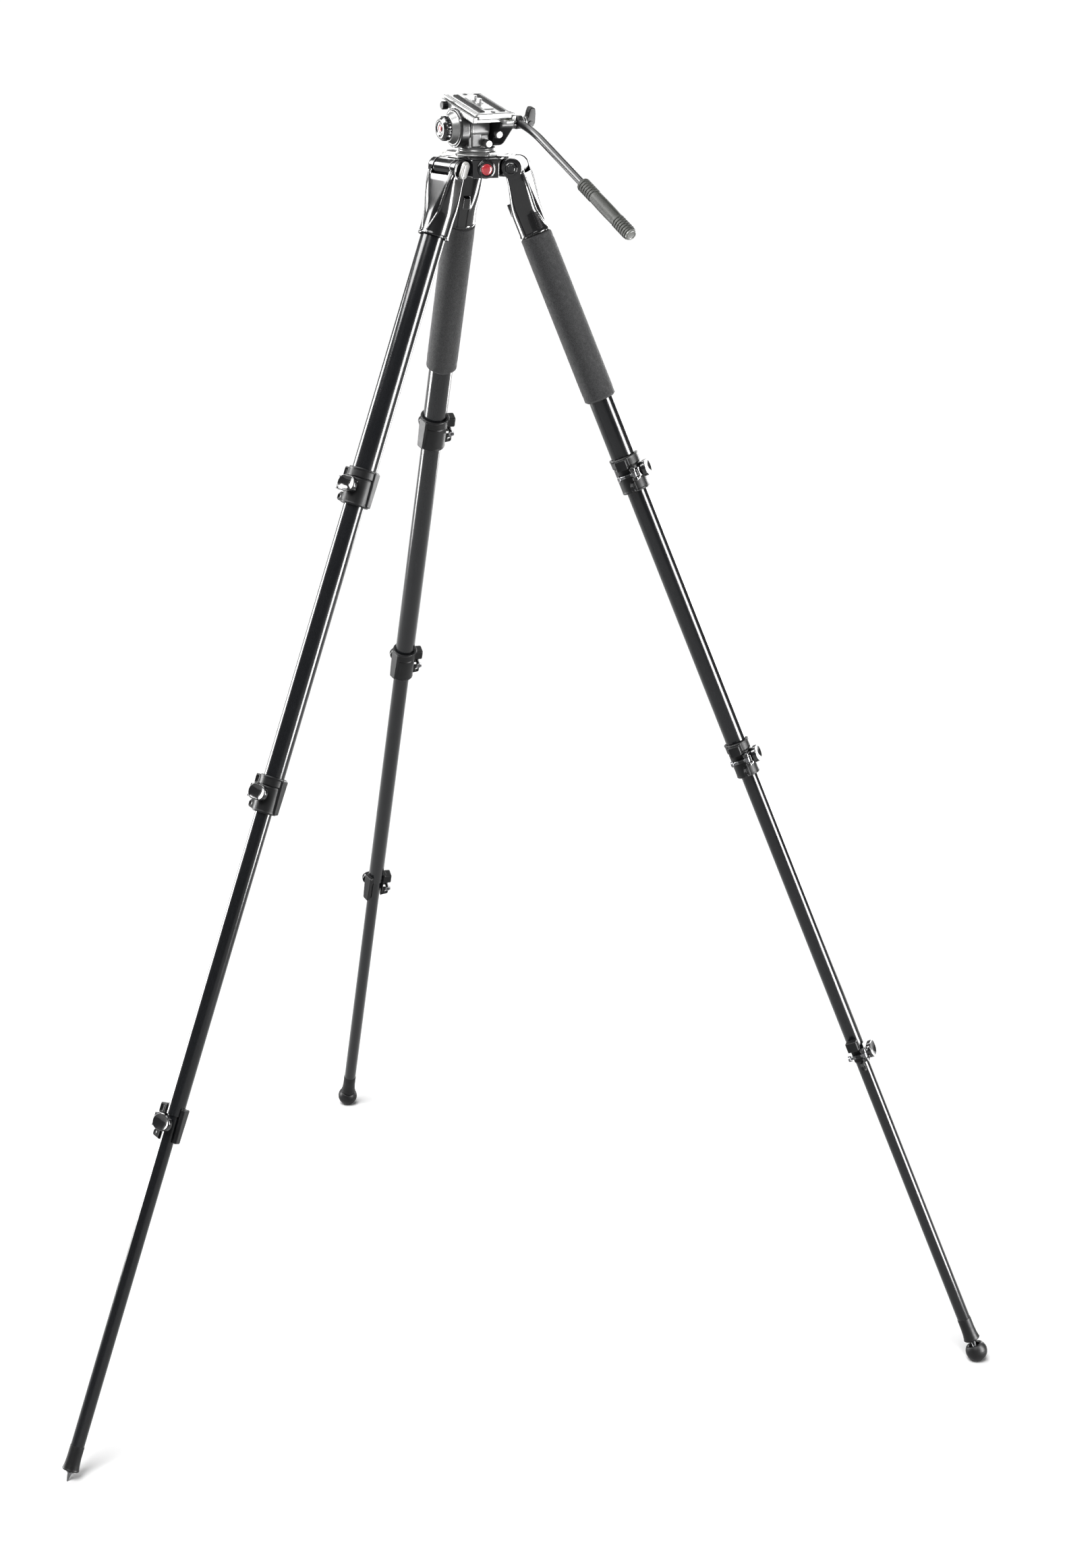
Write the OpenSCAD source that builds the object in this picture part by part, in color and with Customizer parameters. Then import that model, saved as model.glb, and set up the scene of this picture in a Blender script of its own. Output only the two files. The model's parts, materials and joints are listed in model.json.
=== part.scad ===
// Three-legged camera tripod with a fluid video head.
// Millimetres, +Z up. The origin is on the floor, at the middle of the footprint's box.

/* [Legs] */
// Lean of each leg from the vertical, degrees
spread = 23.2; // [20:0.1:26]
// Length of a leg from its pivot pin to the floor
leg_len = 1815.6; // [1810:0.2:1830]
// Distance of each pivot pin from the tripod's axis
pin_r = 54; // [54:0.5:60]
// How far the tubes sit inboard of the pin
tube_inset = 9.2; // [8:0.1:10]
// Wall of the leg tubes
tube_wall = 1.5; // [1.2:0.1:1.6]
// Outside radii of the four tube sections, top to bottom
tube_r = [16.75, 14, 11.5, 9.25]; // [9:0.05:17]
// Middle of each lock, measured down the leg from the pin
lock_s = [438, 863, 1319]; // [430:1:1325]
// How far each inner tube reaches up past its lock's middle
overlap = 42; // [38:1:46]

/* [Locks] */
// Height of a lock collar
collar_h = 50; // [46:1:54]
// Thickness of the collar over its upper tube
collar_wall = 3.2; // [2.8:0.1:3.6]
// Height of the collar's upper cup, which holds the upper tube
cup_h = 13; // [12:0.5:14]
// Size of the lever's thumb pad: along the collar's tangent, along the leg
pad_size = [32, 21]; // [20:1:34]

/* [Feet] */
// Radius of a rubber ball foot
ball_r = 15.5; // [14:0.5:17]
// Distance from each leg's end cap to the floor end of the leg
cap_rise = [15.5, 35.3, 28.1]; // [15:0.1:36]
// Radius of the end cap's flange
flange_r = 11.8; // [11:0.1:13]
// Radius of the foot's steel stud
stud_r = 3; // [2.5:0.1:3.5]

/* [Grips] */
// Outside radius of the foam grips
grip_r = 22; // [20:0.5:23]
// Lower end of the foam grips, down the leg from the pin
grip_end_s = 330; // [300:5:350]

/* [Spider] */
// Height of the spider
spider_h = 27; // [25:0.5:30]
// Radius of the spider's hub
hub_r = 33; // [31:0.5:35]
// Half the width of the knuckle between a leg's two fork eyes
knuckle_half = 15.2; // [14:0.1:15.2]
// Radius of the fork eyes
eye_r = 14; // [13:0.5:14]

/* [Head] */
// Turn of the head about the pan axis, degrees
head_yaw = 12; // [0:1:20]
// Tilt of the head, front end up, degrees
head_tilt = 10; // [0:1:15]
// Height of the tilt axis above the spider
tilt_z = 36; // [36:0.5:40]
// Radius of the head's side covers
cover_r = 26; // [24:0.5:26]
// Half the length of the sliding plate
plate_half = 48; // [44:1:52]
// Half the width of the sliding plate
plate_half_w = 29; // [27:0.5:31]
// Height of the camera plate's top above the tilt axis
plate_top = 32; // [31:0.5:34]

/* [Pan bar] */
// Radius of the pan bar
bar_r = 5.2; // [4.5:0.1:5.5]
// Length of the sloping run, from its bend to the end of the grip
bar_run = 236; // [220:1:260]
// Fall of the sloping run below the plate, degrees
bar_fall = 17.5; // [10:0.5:25]
// How far the sloping run points away from the head, degrees
bar_out = 8; // [4:0.5:14]
// Radius and length of the bar's rubber grip
bar_grip = [9.5, 117]; // [8:0.5:120]

/* [Hidden] */
$fn = 64;
fit = 0.05;
gap = 0.4;
leg_name = ["a", "b", "c"];
leg_azimuth = [210, 330, 90];
has_ball = [false, true, true];
legs = [0:2];
// The foot of a leg's tube line touches the floor; the rest follows from that.
pin_z = leg_len * cos(spread) + tube_inset * sin(spread);
top_z = pin_z + 14;
ball_s = leg_len - ball_r / cos(spread);
foot_r = pin_r - tube_inset * cos(spread) + ball_s * sin(spread);
// Footprint's box centred on the origin
axis_x = 0;
axis_y = -foot_r / 4;
casting_len = 92;
tube_top_s = 46;
tube4_len = leg_len - cap_rise[0] - lock_s[2] + overlap - 4;
eye_out = 25;
bolt_r = 4;
lever_x = 12;
deck_z = 19.5;
rail_z = 27.5;
drum_r = 18;
journal_r = 8;
dial_x = -56;
cover_x = -45;
lock_x = 17;
rosette = [34, -33, 14];
bend_y = -78;
screw_y = [0, 14];

// ---- Places ----

// On the tripod's axis, level with the spider's top
module on_spider() {
    translate([axis_x, axis_y, top_z]) children();
}

// At leg k's pivot pin: -Z runs down the leg, +X faces outward, +Y along the pin
module on_leg(k) {
    translate([axis_x, axis_y, pin_z])
        rotate([0, 0, leg_azimuth[k]])
        translate([pin_r, 0, 0])
        rotate([0, -spread, 0])
        children();
}

// On leg k's tube line, s below the pin
module on_tube(k, s) {
    on_leg(k) translate([-tube_inset, 0, -s]) children();
}

// On the pan axis at the spider's top, turned with the head
module on_head() {
    on_spider() rotate([0, 0, head_yaw]) children();
}

// On the tilt axis, tilted with the camera plate: +Y is the lens end
module on_cradle() {
    on_head() translate([0, 0, tilt_z]) rotate([head_tilt, 0, 0]) children();
}

// ---- Shapes used more than once ----

module tube(r, h, wall) {
    difference() {
        cylinder(r = r, h = h);
        translate([0, 0, -1]) cylinder(r = r - wall, h = h + 2);
    }
}

module block(low, high) {
    translate(low) cube(high - low);
}

// A cylinder along X from x0 to x1
module across(r, x0, x1) {
    translate([x0, 0, 0]) rotate([0, 90, 0]) cylinder(r = r, h = x1 - x0);
}

// A cylinder along Y from y0 to y1
module along(r, y0, y1) {
    translate([0, y0, 0]) rotate([-90, 0, 0]) cylinder(r = r, h = y1 - y0);
}

// ---- Legs ----

// Fork casting: two eyes on the pivot bolt, two arms and a socket round the upper tube
module leg_casting(k) {
    socket_r = tube_r[0] + 3.8;
    web_x = 7;
    arm_side = [[-eye_r, 0], [eye_r, 0], [eye_r - 0.5, -14], [socket_r - tube_inset, -casting_len],
                [-socket_r - tube_inset, -casting_len], [-socket_r - tube_inset, -70], [-eye_r, -14]];
    arm_front = [[-eye_out, 0], [eye_out, 0], [eye_out, -16], [socket_r, -62],
                 [socket_r, -casting_len], [-socket_r, -casting_len], [-socket_r, -62],
                 [-eye_out, -16]];
    arch = [[-knuckle_half - gap, eye_r + 1], [knuckle_half + gap, eye_r + 1],
            [knuckle_half + gap, -26], [9, -42], [-9, -42], [-knuckle_half - gap, -26]];
    color("#1b1c1e") on_leg(k) difference() {
        union() {
            along(eye_r, -eye_out, eye_out);
            intersection() {
                rotate([90, 0, 0]) linear_extrude(2 * eye_out, center = true) polygon(arm_side);
                rotate([90, 0, 90]) linear_extrude(100, center = true) polygon(arm_front);
                union() {
                    translate([-tube_inset, 0, -casting_len]) cylinder(r = socket_r, h = 34);
                    block([-24, -eye_out, -62], [eye_r, eye_out, 1]);
                }
            }
        }
        difference() {
            rotate([90, 0, 90]) linear_extrude(100, center = true) polygon(arch);
            block([1, -eye_out, -tube_top_s], [web_x, eye_out, -24]);
        }
        translate([-tube_inset, 0, -casting_len - 1])
            cylinder(r = tube_r[0], h = casting_len + 1 - tube_top_s);
        along(bolt_r + fit, -eye_out - 1, eye_out + 1);
        for (z = [-8, 8])
            translate([0, 0, z]) along(1.6 + fit, 17, eye_out + 1);
    }
}

// Sprung button that frees the leg's angle stop, on the pivot's far end
module angle_stop(k) {
    color("#9a9b98") on_leg(k) {
        translate([0, 33, 0]) rotate([90, 0, 0]) linear_extrude(5) hull()
            for (z = [-5.5, 5.5])
                translate([0, z]) circle(r = 6.5, $fn = 48);
        for (z = [-8, 8])
            translate([0, 0, z]) along(1.6, 20, 28.5);
    }
}

// Tube section j (0 to 3) of leg k. Inner sections carry a guide bush at the top.
function tube_top(k, j) =
    j == 0 ? tube_top_s
    : j < 3 ? lock_s[j - 1] - overlap
    : leg_len - cap_rise[k] - 4 - tube4_len;
function tube_end(k, j) = j < 3 ? lock_s[j] - collar_h / 2 + cup_h : leg_len - cap_rise[k] - 4;

module tube_section(k, j) {
    length = tube_end(k, j) - tube_top(k, j);
    color("#141518") on_tube(k, tube_end(k, j)) {
        tube(tube_r[j], length, tube_wall);
        if (j > 0)
            translate([0, 0, length - 22])
                tube(tube_r[j - 1] - tube_wall - fit, 22, tube_r[j - 1] - tube_wall - fit - tube_r[j] + 1);
    }
}

// Foam grip round the upper tube
module leg_grip(k) {
    color("#3a3b3d") on_tube(k, grip_end_s)
        tube(grip_r, grip_end_s - casting_len - gap, grip_r - tube_r[0]);
}

// Lock j (0 to 2): cup on the upper tube, slit clamp band on the lower one, ears and a lug.
// Its clamp bolt, nut and lever pin are separate solids.
module lock_collar(k, j) {
    cup_r = tube_r[j] + collar_wall;
    half = collar_h / 2;
    ear_y = -cup_r - 4.5;
    color("#1d1e20") on_tube(k, lock_s[j]) {
        difference() {
            union() {
                translate([0, 0, half - cup_h - 1]) cylinder(r = cup_r, h = cup_h + 1);
                translate([0, 0, -half]) cylinder(r = cup_r - 1, h = collar_h - cup_h);
                block([-8, -cup_r - 8.5, -10], [7, -cup_r + 4, 10]);
                lug(cup_r);
            }
            translate([0, 0, half - cup_h]) cylinder(r = tube_r[j], h = cup_h + 1);
            translate([0, 0, -half - 1]) cylinder(r = tube_r[j + 1] + fit, h = collar_h);
            block([-1.2, -cup_r - 30, -half - 1], [1.2, -tube_r[j + 1] + 2, 10.5]);
            translate([0, ear_y, 0]) across(2.5, -20, 20);
            translate([lever_x, ear_y, -12]) cylinder(r = 5.2, h = 24);
            translate([0, -cup_r - 6, -17.5]) across(2.75, -20, 20);
        }
    }
    color("#b9bbbd") on_tube(k, lock_s[j]) translate([0, ear_y, 0]) {
        across(2.5 - fit, -12, lever_x);
        translate([-12, 0, 0]) rotate([0, 90, 0]) cylinder(r = 4.6, h = 4 - fit, $fn = 6);
        translate([lever_x, 0, -3.5]) cylinder(r = 3.6, h = 7);
        translate([lever_x, 0, -9.5]) cylinder(r = 2, h = 19);
    }
}

// Ear below the clamp with a hole for a spreader or strap
module lug(cup_r) {
    side = [[0, -10.5], [-cup_r - 5, -10.5], [-cup_r - 9.5, -15], [-cup_r - 9.5, -22], [0, -24.5]];
    translate([1.2, 0, 0]) rotate([90, 0, 90]) linear_extrude(5) polygon(side);
}

// Lever j: hinged on the clamp bolt's eye, wraps round the collar to an oval thumb pad
module lock_lever(k, j) {
    cup_r = tube_r[j] + collar_wall;
    inner = cup_r + 0.7;
    ear_y = -cup_r - 4.5;
    web_x = lever_x + 1.2;
    color("#222325") on_tube(k, lock_s[j]) difference() {
        union() {
            translate([lever_x, ear_y, -9]) cylinder(r = 4.6, h = 18);
            block([web_x, ear_y, -7], [lever_x + 4.6, -cup_r + 4, 7]);
            intersection() {
                translate([0, 0, -7]) tube(inner + 2.8, 14, 2.8);
                block([0, -cup_r + 3.5, -8], [inner + 4, cup_r * 0.62, 8]);
            }
            translate([inner + 0.3, 0, 0]) rotate([90, 0, 90]) linear_extrude(6.4) hull()
                for (y = [-1, 1])
                    translate([y * (pad_size.x - pad_size.y) / 2, 0]) circle(d = pad_size.y, $fn = 48);
        }
        translate([lever_x, ear_y, -20]) cylinder(r = 2 + fit, h = 40);
        translate([lever_x, ear_y, -4]) cylinder(r = 5.3, h = 8);
        translate([0, 0, -20]) cylinder(r = inner, h = 40);
    }
}

// End cap of leg k with its steel stud: a bare spike on leg a, a threaded stud on b and c
module foot_end(k) {
    drop = leg_len - cap_rise[k];
    bore = stud_r + fit;
    cap = [[bore, 0], [flange_r - 0.8, 0], [flange_r, 1.5], [flange_r - 0.6, 3],
           [tube_r[3] + 1, 9], [tube_r[3] + 1, 34], [tube_r[3], 34], [tube_r[3], 4], [bore, 4]];
    color("#18191a") on_tube(k, drop) rotate_extrude() polygon(cap);
    color("#c4c6c8") on_tube(k, drop) {
        translate([0, 0, has_ball[k] ? drop - ball_s - 5 : -4])
            cylinder(r = stud_r, h = has_ball[k] ? ball_s - drop + 15 : 12);
        if (!has_ball[k])
            translate([0, 0, -cap_rise[k]]) cylinder(r1 = 0.6, r2 = stud_r, h = cap_rise[k] - 4);
    }
}

// Rubber ball screwed on the stud, with a dished top
module ball_foot(k) {
    color("#202122") on_tube(k, ball_s) difference() {
        sphere(r = ball_r);
        translate([0, 0, 10.5]) cylinder(r = ball_r, h = ball_r);
        translate([0, 0, 4]) cylinder(r = 8, h = ball_r);
        translate([0, 0, -6]) cylinder(r = stud_r + fit, h = ball_r);
    }
}

// ---- Spider ----

module spider() {
    color("#202124") on_spider() difference() {
        union() {
            translate([0, 0, -spider_h]) cylinder(r = hub_r, h = spider_h);
            for (k = legs) rotate(leg_azimuth[k]) {
                block([20, -knuckle_half, -26.5], [pin_r, knuckle_half, -1.5]);
                translate([pin_r, 0, -14]) along(eye_r - 0.8, -knuckle_half, knuckle_half);
            }
            for (k = legs) rotate(leg_azimuth[k] + 60)
                block([20, -18, -26], [46, 18, -1]);
            rotate(270) translate([0, 0, -14]) across(11, 40, 50);
        }
        translate([0, 0, -spider_h - 1]) cylinder(r = 12, h = 15);
        translate([0, 0, -spider_h - 1]) cylinder(r = 4.9, h = spider_h + 2);
        for (k = legs) rotate(leg_azimuth[k])
            translate([pin_r, 0, -14]) along(bolt_r, -20, 20);
        rotate(270) translate([0, 0, -14]) across(7.5, 49, 52);
    }
}

// The three bolts that the legs fold on
module leg_pivot_bolts() {
    color("#2b2c2e") for (k = legs) on_leg(k) {
        along(bolt_r, -eye_out - 1, eye_out - 1);
        along(8.5, -eye_out - 3.3, -eye_out - gap);
    }
}

// Plain round cap in the spider's front boss
module badge() {
    color("#c22a30") on_spider() rotate(270) translate([0, 0, -14]) across(7.5, 49, 51.5);
}

// Screw that holds the head down, from below
module head_bolt() {
    color("#a9abae") on_spider() {
        translate([0, 0, -13]) cylinder(r = 4.7, h = 21);
        translate([0, 0, -20]) cylinder(r = 8, h = 7, $fn = 6);
    }
}

// ---- Fluid head ----

// Fixed base: a cone on the spider with the pan spigot
module head_base() {
    profile = [[0, 0], [29, 0], [29, 1.5], [25.5, 5], [9, 5], [9, 20], [0, 20]];
    color("#77797a") on_head() difference() {
        union() {
            rotate_extrude() polygon(profile);
            block([3, -29.5, 0], [16, -22, 4.8]);
        }
        translate([0, 0, -1]) cylinder(r = 4.7, h = 10);
    }
}

// Panning column: flange, neck, drum and the journals that the cradle tilts on
module pan_body() {
    color("#6d6f70") on_head() difference() {
        union() {
            translate([0, 0, 5.3]) cylinder(r1 = 25.2, r2 = 23, h = 4.2);
            block([-20, -15, 5.4], [10, 15, tilt_z]);
            translate([0, 0, tilt_z]) {
                across(drum_r, -20, 10);
                across(journal_r, -34, 30);
                across(4, dial_x + 7, 0);
            }
        }
        translate([0, 0, 4]) cylinder(r = 9 + fit, h = 17);
        translate([5, 0, 16]) along(3 + fit, -16, -5);
    }
}

// Knob that locks the pan
module pan_lock() {
    color("#cfd0d1") on_head() translate([5, 0, 16]) {
        along(3, -15.4, -10);
        along(5.4, -26, -15.3);
    }
}

// Tilting cradle: two side covers joined by the deck that the plate slides on
module tilt_cradle() {
    color("#2a2b2d") on_cradle() difference() {
        union() {
            across(cover_r, -34, -22.4);
            rotate([0, -90, 0]) translate([0, 0, 33])
                cylinder(r1 = 22.5, r2 = 17.5, h = -cover_x - 33);
            translate([12.4, 0, 0]) rotate([90, 0, 90]) linear_extrude(rosette.x - 12.4) hull() {
                circle(r = cover_r);
                translate([rosette.y, rosette.z]) circle(r = 9);
            }
            translate([0, rosette.y, rosette.z]) across(8.4, 30, 37.8);
            block([-31, -plate_half + 2, deck_z], [31, plate_half - 2, 24]);
            for (x = [-31, 25])
                block([x, -plate_half + 2, deck_z], [x + 6, plate_half - 2, rail_z]);
            block([10, -56, deck_z], [26, -40, 24]);
        }
        across(journal_r + fit, -34.2, 30.5);
        across(4 + gap, cover_x - 1, -30);
        translate([0, rosette.y, rosette.z]) across(4 + fit, 20, 45);
        translate([18, -50.5, 21]) cylinder(r = 4.5, h = 10);
        translate([lock_x, 0, -2]) {
            along(2.5 + fit, -40, -15);
            along(5.2 + gap, -45, -26);
        }
        translate([0, 30, 22]) across(2.5 + fit, -32, -24);
        // The channel that the sliding plate's tongue runs in
        block([-25, -plate_half, 24], [25, plate_half, rail_z + 1]);
    }
}

// Knob for the tilt drag, turning on the end of the axle
module tilt_drag_dial() {
    color("#1c1d1f") on_cradle() difference() {
        union() {
            across(16.5, dial_x + 4, cover_x - gap);
            rotate([0, -90, 0]) translate([0, 0, -dial_x - 4]) cylinder(r1 = 16.5, r2 = 12, h = 4);
        }
        across(4 + fit, dial_x + 6.5, -30);
    }
}

// Knob that locks the tilt, on the inside of the right cover
module tilt_lock() {
    color("#c8c9ca") on_cradle() translate([lock_x, 0, -2]) {
        along(2.5, -30, -16);
        along(5.2, -33.5, -26.4);
    }
}

// Round bubble level in the rear of the deck
module bubble_level() {
    color("#b8c84a") on_cradle() translate([18, -50.5, 21]) cylinder(r = 4.5, h = 2.7);
}

// Sliding camera plate: a tongue between the rails and a slotted top with rubber strips
module sliding_plate() {
    slot_half = 22;
    color("#8b8d8e") on_cradle() difference() {
        union() {
            block([-24.6, -plate_half, 24.3], [24.6, plate_half, rail_z + 1]);
            block([-plate_half_w, -plate_half, rail_z + 0.3], [plate_half_w, plate_half, plate_top]);
            for (x = [-19, 11])
                block([x, -38, plate_top - 1], [x + 8, 38, plate_top + 1]);
        }
        block([-3.2, -slot_half, 20], [3.2, slot_half, 40]);
        for (y = [-slot_half, slot_half])
            translate([0, y, 20]) cylinder(r = 3.2, h = 20);
        block([-7, -slot_half - 5, 20], [7, slot_half + 5, 29]);
    }
}

// The two camera screws that stand in the plate's slot
module plate_screws() {
    color("#c9cbcd") on_cradle() for (y = screw_y) translate([0, y, 0]) {
        translate([0, 0, 25]) cylinder(r = 6.2, h = 4);
        translate([0, 0, 28]) cylinder(r = 2.6, h = plate_top + 1 - 28);
        translate([0, 0, plate_top + 0.5]) cylinder(r = 3.175, h = 6);
    }
}

// Knob that clamps the sliding plate
module plate_lock_lever() {
    color("#202123") on_cradle() translate([0, 30, 22]) {
        across(2.5, -34, -26);
        across(5.5, -40, -31.4);
    }
}

// Pan bar: rosette, short straight run, bend and long sloping run
module on_bar_bend() {
    on_cradle() translate([43.2, bend_y, rosette.z])
        rotate([0, 0, bar_out]) rotate([90 + bar_fall, 0, 0])
        children();
}

module pan_bar() {
    color("#1a1b1c") {
        on_cradle() {
            translate([0, rosette.y, rosette.z]) difference() {
                across(9, 38.2, 47.4);
                across(4 + fit, 30, 50);
            }
            translate([43.2, 0, rosette.z]) along(bar_r, bend_y, rosette.y - 7.6);
            translate([43.2, bend_y, rosette.z]) sphere(r = bar_r + 0.4);
        }
        on_bar_bend() cylinder(r = bar_r, h = bar_run - 6);
    }
}

// Ribbed rubber grip on the end of the pan bar
module pan_bar_grip() {
    color("#34362f") on_bar_bend() translate([0, 0, bar_run - bar_grip.y]) difference() {
        cylinder(r = bar_grip[0], h = bar_grip.y);
        translate([0, 0, -1]) cylinder(r = bar_r, h = bar_grip.y - 5);
    }
}

// L-shaped handle that clamps the pan bar
module pan_bar_clamp() {
    color("#26272a") on_cradle() translate([0, rosette.y, rosette.z]) {
        across(4, 24, 50);
        across(6.5, 47.8, 56);
        translate([60.5, 0, 0]) along(6.5, -5, 5);
        block([54, -5, -6.5], [60.5, 5, 6.5]);
        block([54, -5, -2], [67, 5, 20]);
    }
}

for (k = legs) {
    leg_casting(k);
    tube_section(k, 0);
    lock_collar(k, 0);
    lock_lever(k, 0);
    tube_section(k, 1);
    lock_collar(k, 1);
    lock_lever(k, 1);
    tube_section(k, 2);
    lock_collar(k, 2);
    lock_lever(k, 2);
    tube_section(k, 3);
    foot_end(k);
    angle_stop(k);
}
leg_grip(1);  // grip_b
leg_grip(2);  // grip_c
ball_foot(1);  // ball_foot_b
ball_foot(2);  // ball_foot_c
spider();
leg_pivot_bolts();
badge();
head_bolt();
head_base();
pan_body();
pan_lock();
bubble_level();
tilt_cradle();
tilt_drag_dial();
tilt_lock();
sliding_plate();
plate_screws();
plate_lock_lever();
pan_bar();
pan_bar_clamp();
pan_bar_grip();
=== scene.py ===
"""Tripod with fluid head: detailed pieces, materials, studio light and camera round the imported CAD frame."""

import json
import math

import bmesh
import bpy
from mathutils import Matrix, Vector, noise


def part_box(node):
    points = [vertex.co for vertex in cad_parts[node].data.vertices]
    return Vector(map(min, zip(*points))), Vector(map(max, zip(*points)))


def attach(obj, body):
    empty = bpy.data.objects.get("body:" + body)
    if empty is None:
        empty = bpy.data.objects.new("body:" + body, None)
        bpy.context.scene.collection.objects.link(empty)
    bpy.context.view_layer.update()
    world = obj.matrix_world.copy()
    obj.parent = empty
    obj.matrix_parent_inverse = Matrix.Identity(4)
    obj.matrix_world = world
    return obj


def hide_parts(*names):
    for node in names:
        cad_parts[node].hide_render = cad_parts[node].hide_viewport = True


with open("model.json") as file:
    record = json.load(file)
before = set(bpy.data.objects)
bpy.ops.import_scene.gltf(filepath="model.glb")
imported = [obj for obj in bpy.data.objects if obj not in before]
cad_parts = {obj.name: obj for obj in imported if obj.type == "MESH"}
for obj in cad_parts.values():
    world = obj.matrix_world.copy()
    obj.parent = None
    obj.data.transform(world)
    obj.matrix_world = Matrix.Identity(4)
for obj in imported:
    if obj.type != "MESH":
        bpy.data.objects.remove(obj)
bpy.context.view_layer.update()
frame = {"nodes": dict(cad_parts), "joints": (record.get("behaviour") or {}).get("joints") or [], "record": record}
NODES = frame["nodes"]
JOINTS = {joint["name"]: joint for joint in frame["joints"]}
MM = 0.001
LEGS = "abc"
BALL_LEGS = "bc"
LOCKS = (1, 2, 3)


# ---- Frames: rigid, in metres, taken from the joints ----


def rigid(x, y, z, origin):
    """The frame with these unit axes and this origin."""
    m = Matrix((x, y, z)).transposed().to_4x4()
    m.translation = origin
    return m


def shift(x, y, z):
    """A move in millimetres inside a frame."""
    return Matrix.Translation(Vector((x, y, z)) * MM)


def leg_frame(leg):
    """On the leg's pivot: +Z up the leg, +Y along the pin, +X away from the tripod's axis."""
    fold = JOINTS["leg_fold_" + leg]
    up = Vector(JOINTS["section2_slide_" + leg]["axis"])
    pin = Vector(fold["axis"])
    return rigid(pin.cross(up), pin, up, Vector(fold["pos_m"]))


def extent(node, place):
    """A CAD node's lowest and highest corner in a frame, in millimetres."""
    back = place.inverted()
    points = [back @ v.co for v in NODES[node].data.vertices]
    low = Vector([min(p[i] for p in points) for i in range(3)])
    high = Vector([max(p[i] for p in points) for i in range(3)])
    return low / MM, high / MM


def tube_frame(leg):
    """On the tubes' axis, level with the pivot."""
    low, high = extent("upper_tube_" + leg, leg_frame(leg))
    return leg_frame(leg) @ shift((low.x + high.x) / 2, 0, 0)


COLLAR_H = 50


def lock_frame(leg, lock):
    """At the middle of a lock, on the tubes' axis."""
    high = extent(f"lock{lock}_{leg}", tube_frame(leg))[1]
    return tube_frame(leg) @ shift(0, 0, high.z - COLLAR_H / 2)


TILT = JOINTS["tilt"]
SIDE = Vector(TILT["axis"])
AHEAD = Vector(JOINTS["plate_slide"]["axis"])
UP = Vector((0, 0, 1))
pan_x, pan_y, _ = JOINTS["pan"]["pos_m"]
SPIDER_TOP = Vector((pan_x, pan_y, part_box("spider")[1].z))
SPIDER = Matrix.Translation(SPIDER_TOP)
HEAD = rigid(SIDE, UP.cross(SIDE), UP, SPIDER_TOP)
CRADLE = rigid(SIDE, AHEAD, SIDE.cross(AHEAD), Vector(TILT["pos_m"]))
TILT_HEIGHT = (Vector(TILT["pos_m"]).z - SPIDER_TOP.z) / MM


# ---- Outlines, in millimetres ----


def arc(centre, radius, start, stop, steps=12):
    """Points of a round stretch, from angle start to angle stop in degrees."""
    angles = [math.radians(start + (stop - start) * i / steps) for i in range(steps + 1)]
    return [(centre[0] + radius * math.cos(a), centre[1] + radius * math.sin(a)) for a in angles]


def rounded(outline, radius, steps=5):
    """A closed outline with its corners rounded. A point's third value is a radius of its own."""
    out = []
    count = len(outline)
    for i, point in enumerate(outline):
        here = Vector(point[:2])
        before = Vector(outline[i - 1][:2]) - here
        after = Vector(outline[(i + 1) % count][:2]) - here
        want = point[2] if len(point) > 2 else radius
        turn = before.angle(after)
        if want <= 0 or turn > math.pi - 0.02:
            out.append(tuple(here))
            continue
        back = min(want / math.tan(turn / 2), before.length * 0.48, after.length * 0.48)
        bend = back * math.tan(turn / 2)
        centre = here + (before.normalized() + after.normalized()).normalized() * bend / math.sin(turn / 2)
        first = here + before.normalized() * back - centre
        last = here + after.normalized() * back - centre
        start = math.atan2(first.y, first.x)
        sweep = math.atan2(first.x * last.y - first.y * last.x, first.dot(last))
        for s in range(steps + 1):
            a = start + sweep * s / steps
            out.append((centre.x + bend * math.cos(a), centre.y + bend * math.sin(a)))
    return out


def inset(outline, depth):
    """The outline moved inwards by depth."""
    count = len(outline)
    points = [Vector(p) for p in outline]
    area = sum(a.x * b.y - b.x * a.y for a, b in zip(points, points[1:] + points[:1]))
    hand = 1 if area > 0 else -1
    out = []
    for i in range(count):
        a = (points[i] - points[i - 1]).normalized()
        b = (points[(i + 1) % count] - points[i]).normalized()
        normal = Vector((-a.y - b.y, a.x + b.x)) * hand
        normal = normal.normalized() if normal.length > 1e-6 else Vector((-a.y, a.x)) * hand
        stretch = max(0.5, math.sqrt(max(0.0, (1 + a.dot(b)) / 2)))
        out.append(points[i] + normal * depth / stretch)
    return [tuple(p) for p in out]


def slot_outline(length, width, steps=14):
    """A slot with round ends, along X."""
    half = (length - width) / 2
    return arc((half, 0), width / 2, -90, 90, steps) + arc((-half, 0), width / 2, 90, 270, steps)


# ---- Solids, in millimetres, each added to a bmesh ----

ALONG_X = Matrix.Rotation(math.pi / 2, 4, "Y")
ALONG_Y = Matrix.Rotation(-math.pi / 2, 4, "X")
UPRIGHT_Y = Matrix(((1, 0, 0, 0), (0, 0, -1, 0), (0, 1, 0, 0), (0, 0, 0, 1)))
FACING_X = Matrix(((0, 0, 1, 0), (1, 0, 0, 0), (0, 1, 0, 0), (0, 0, 0, 1)))
FACING_Y = Matrix(((0, 1, 0, 0), (0, 0, 1, 0), (1, 0, 0, 0), (0, 0, 0, 1)))


def at(x, y, z):
    """A place inside a piece's own frame."""
    return Matrix.Translation((x, y, z))


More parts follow.
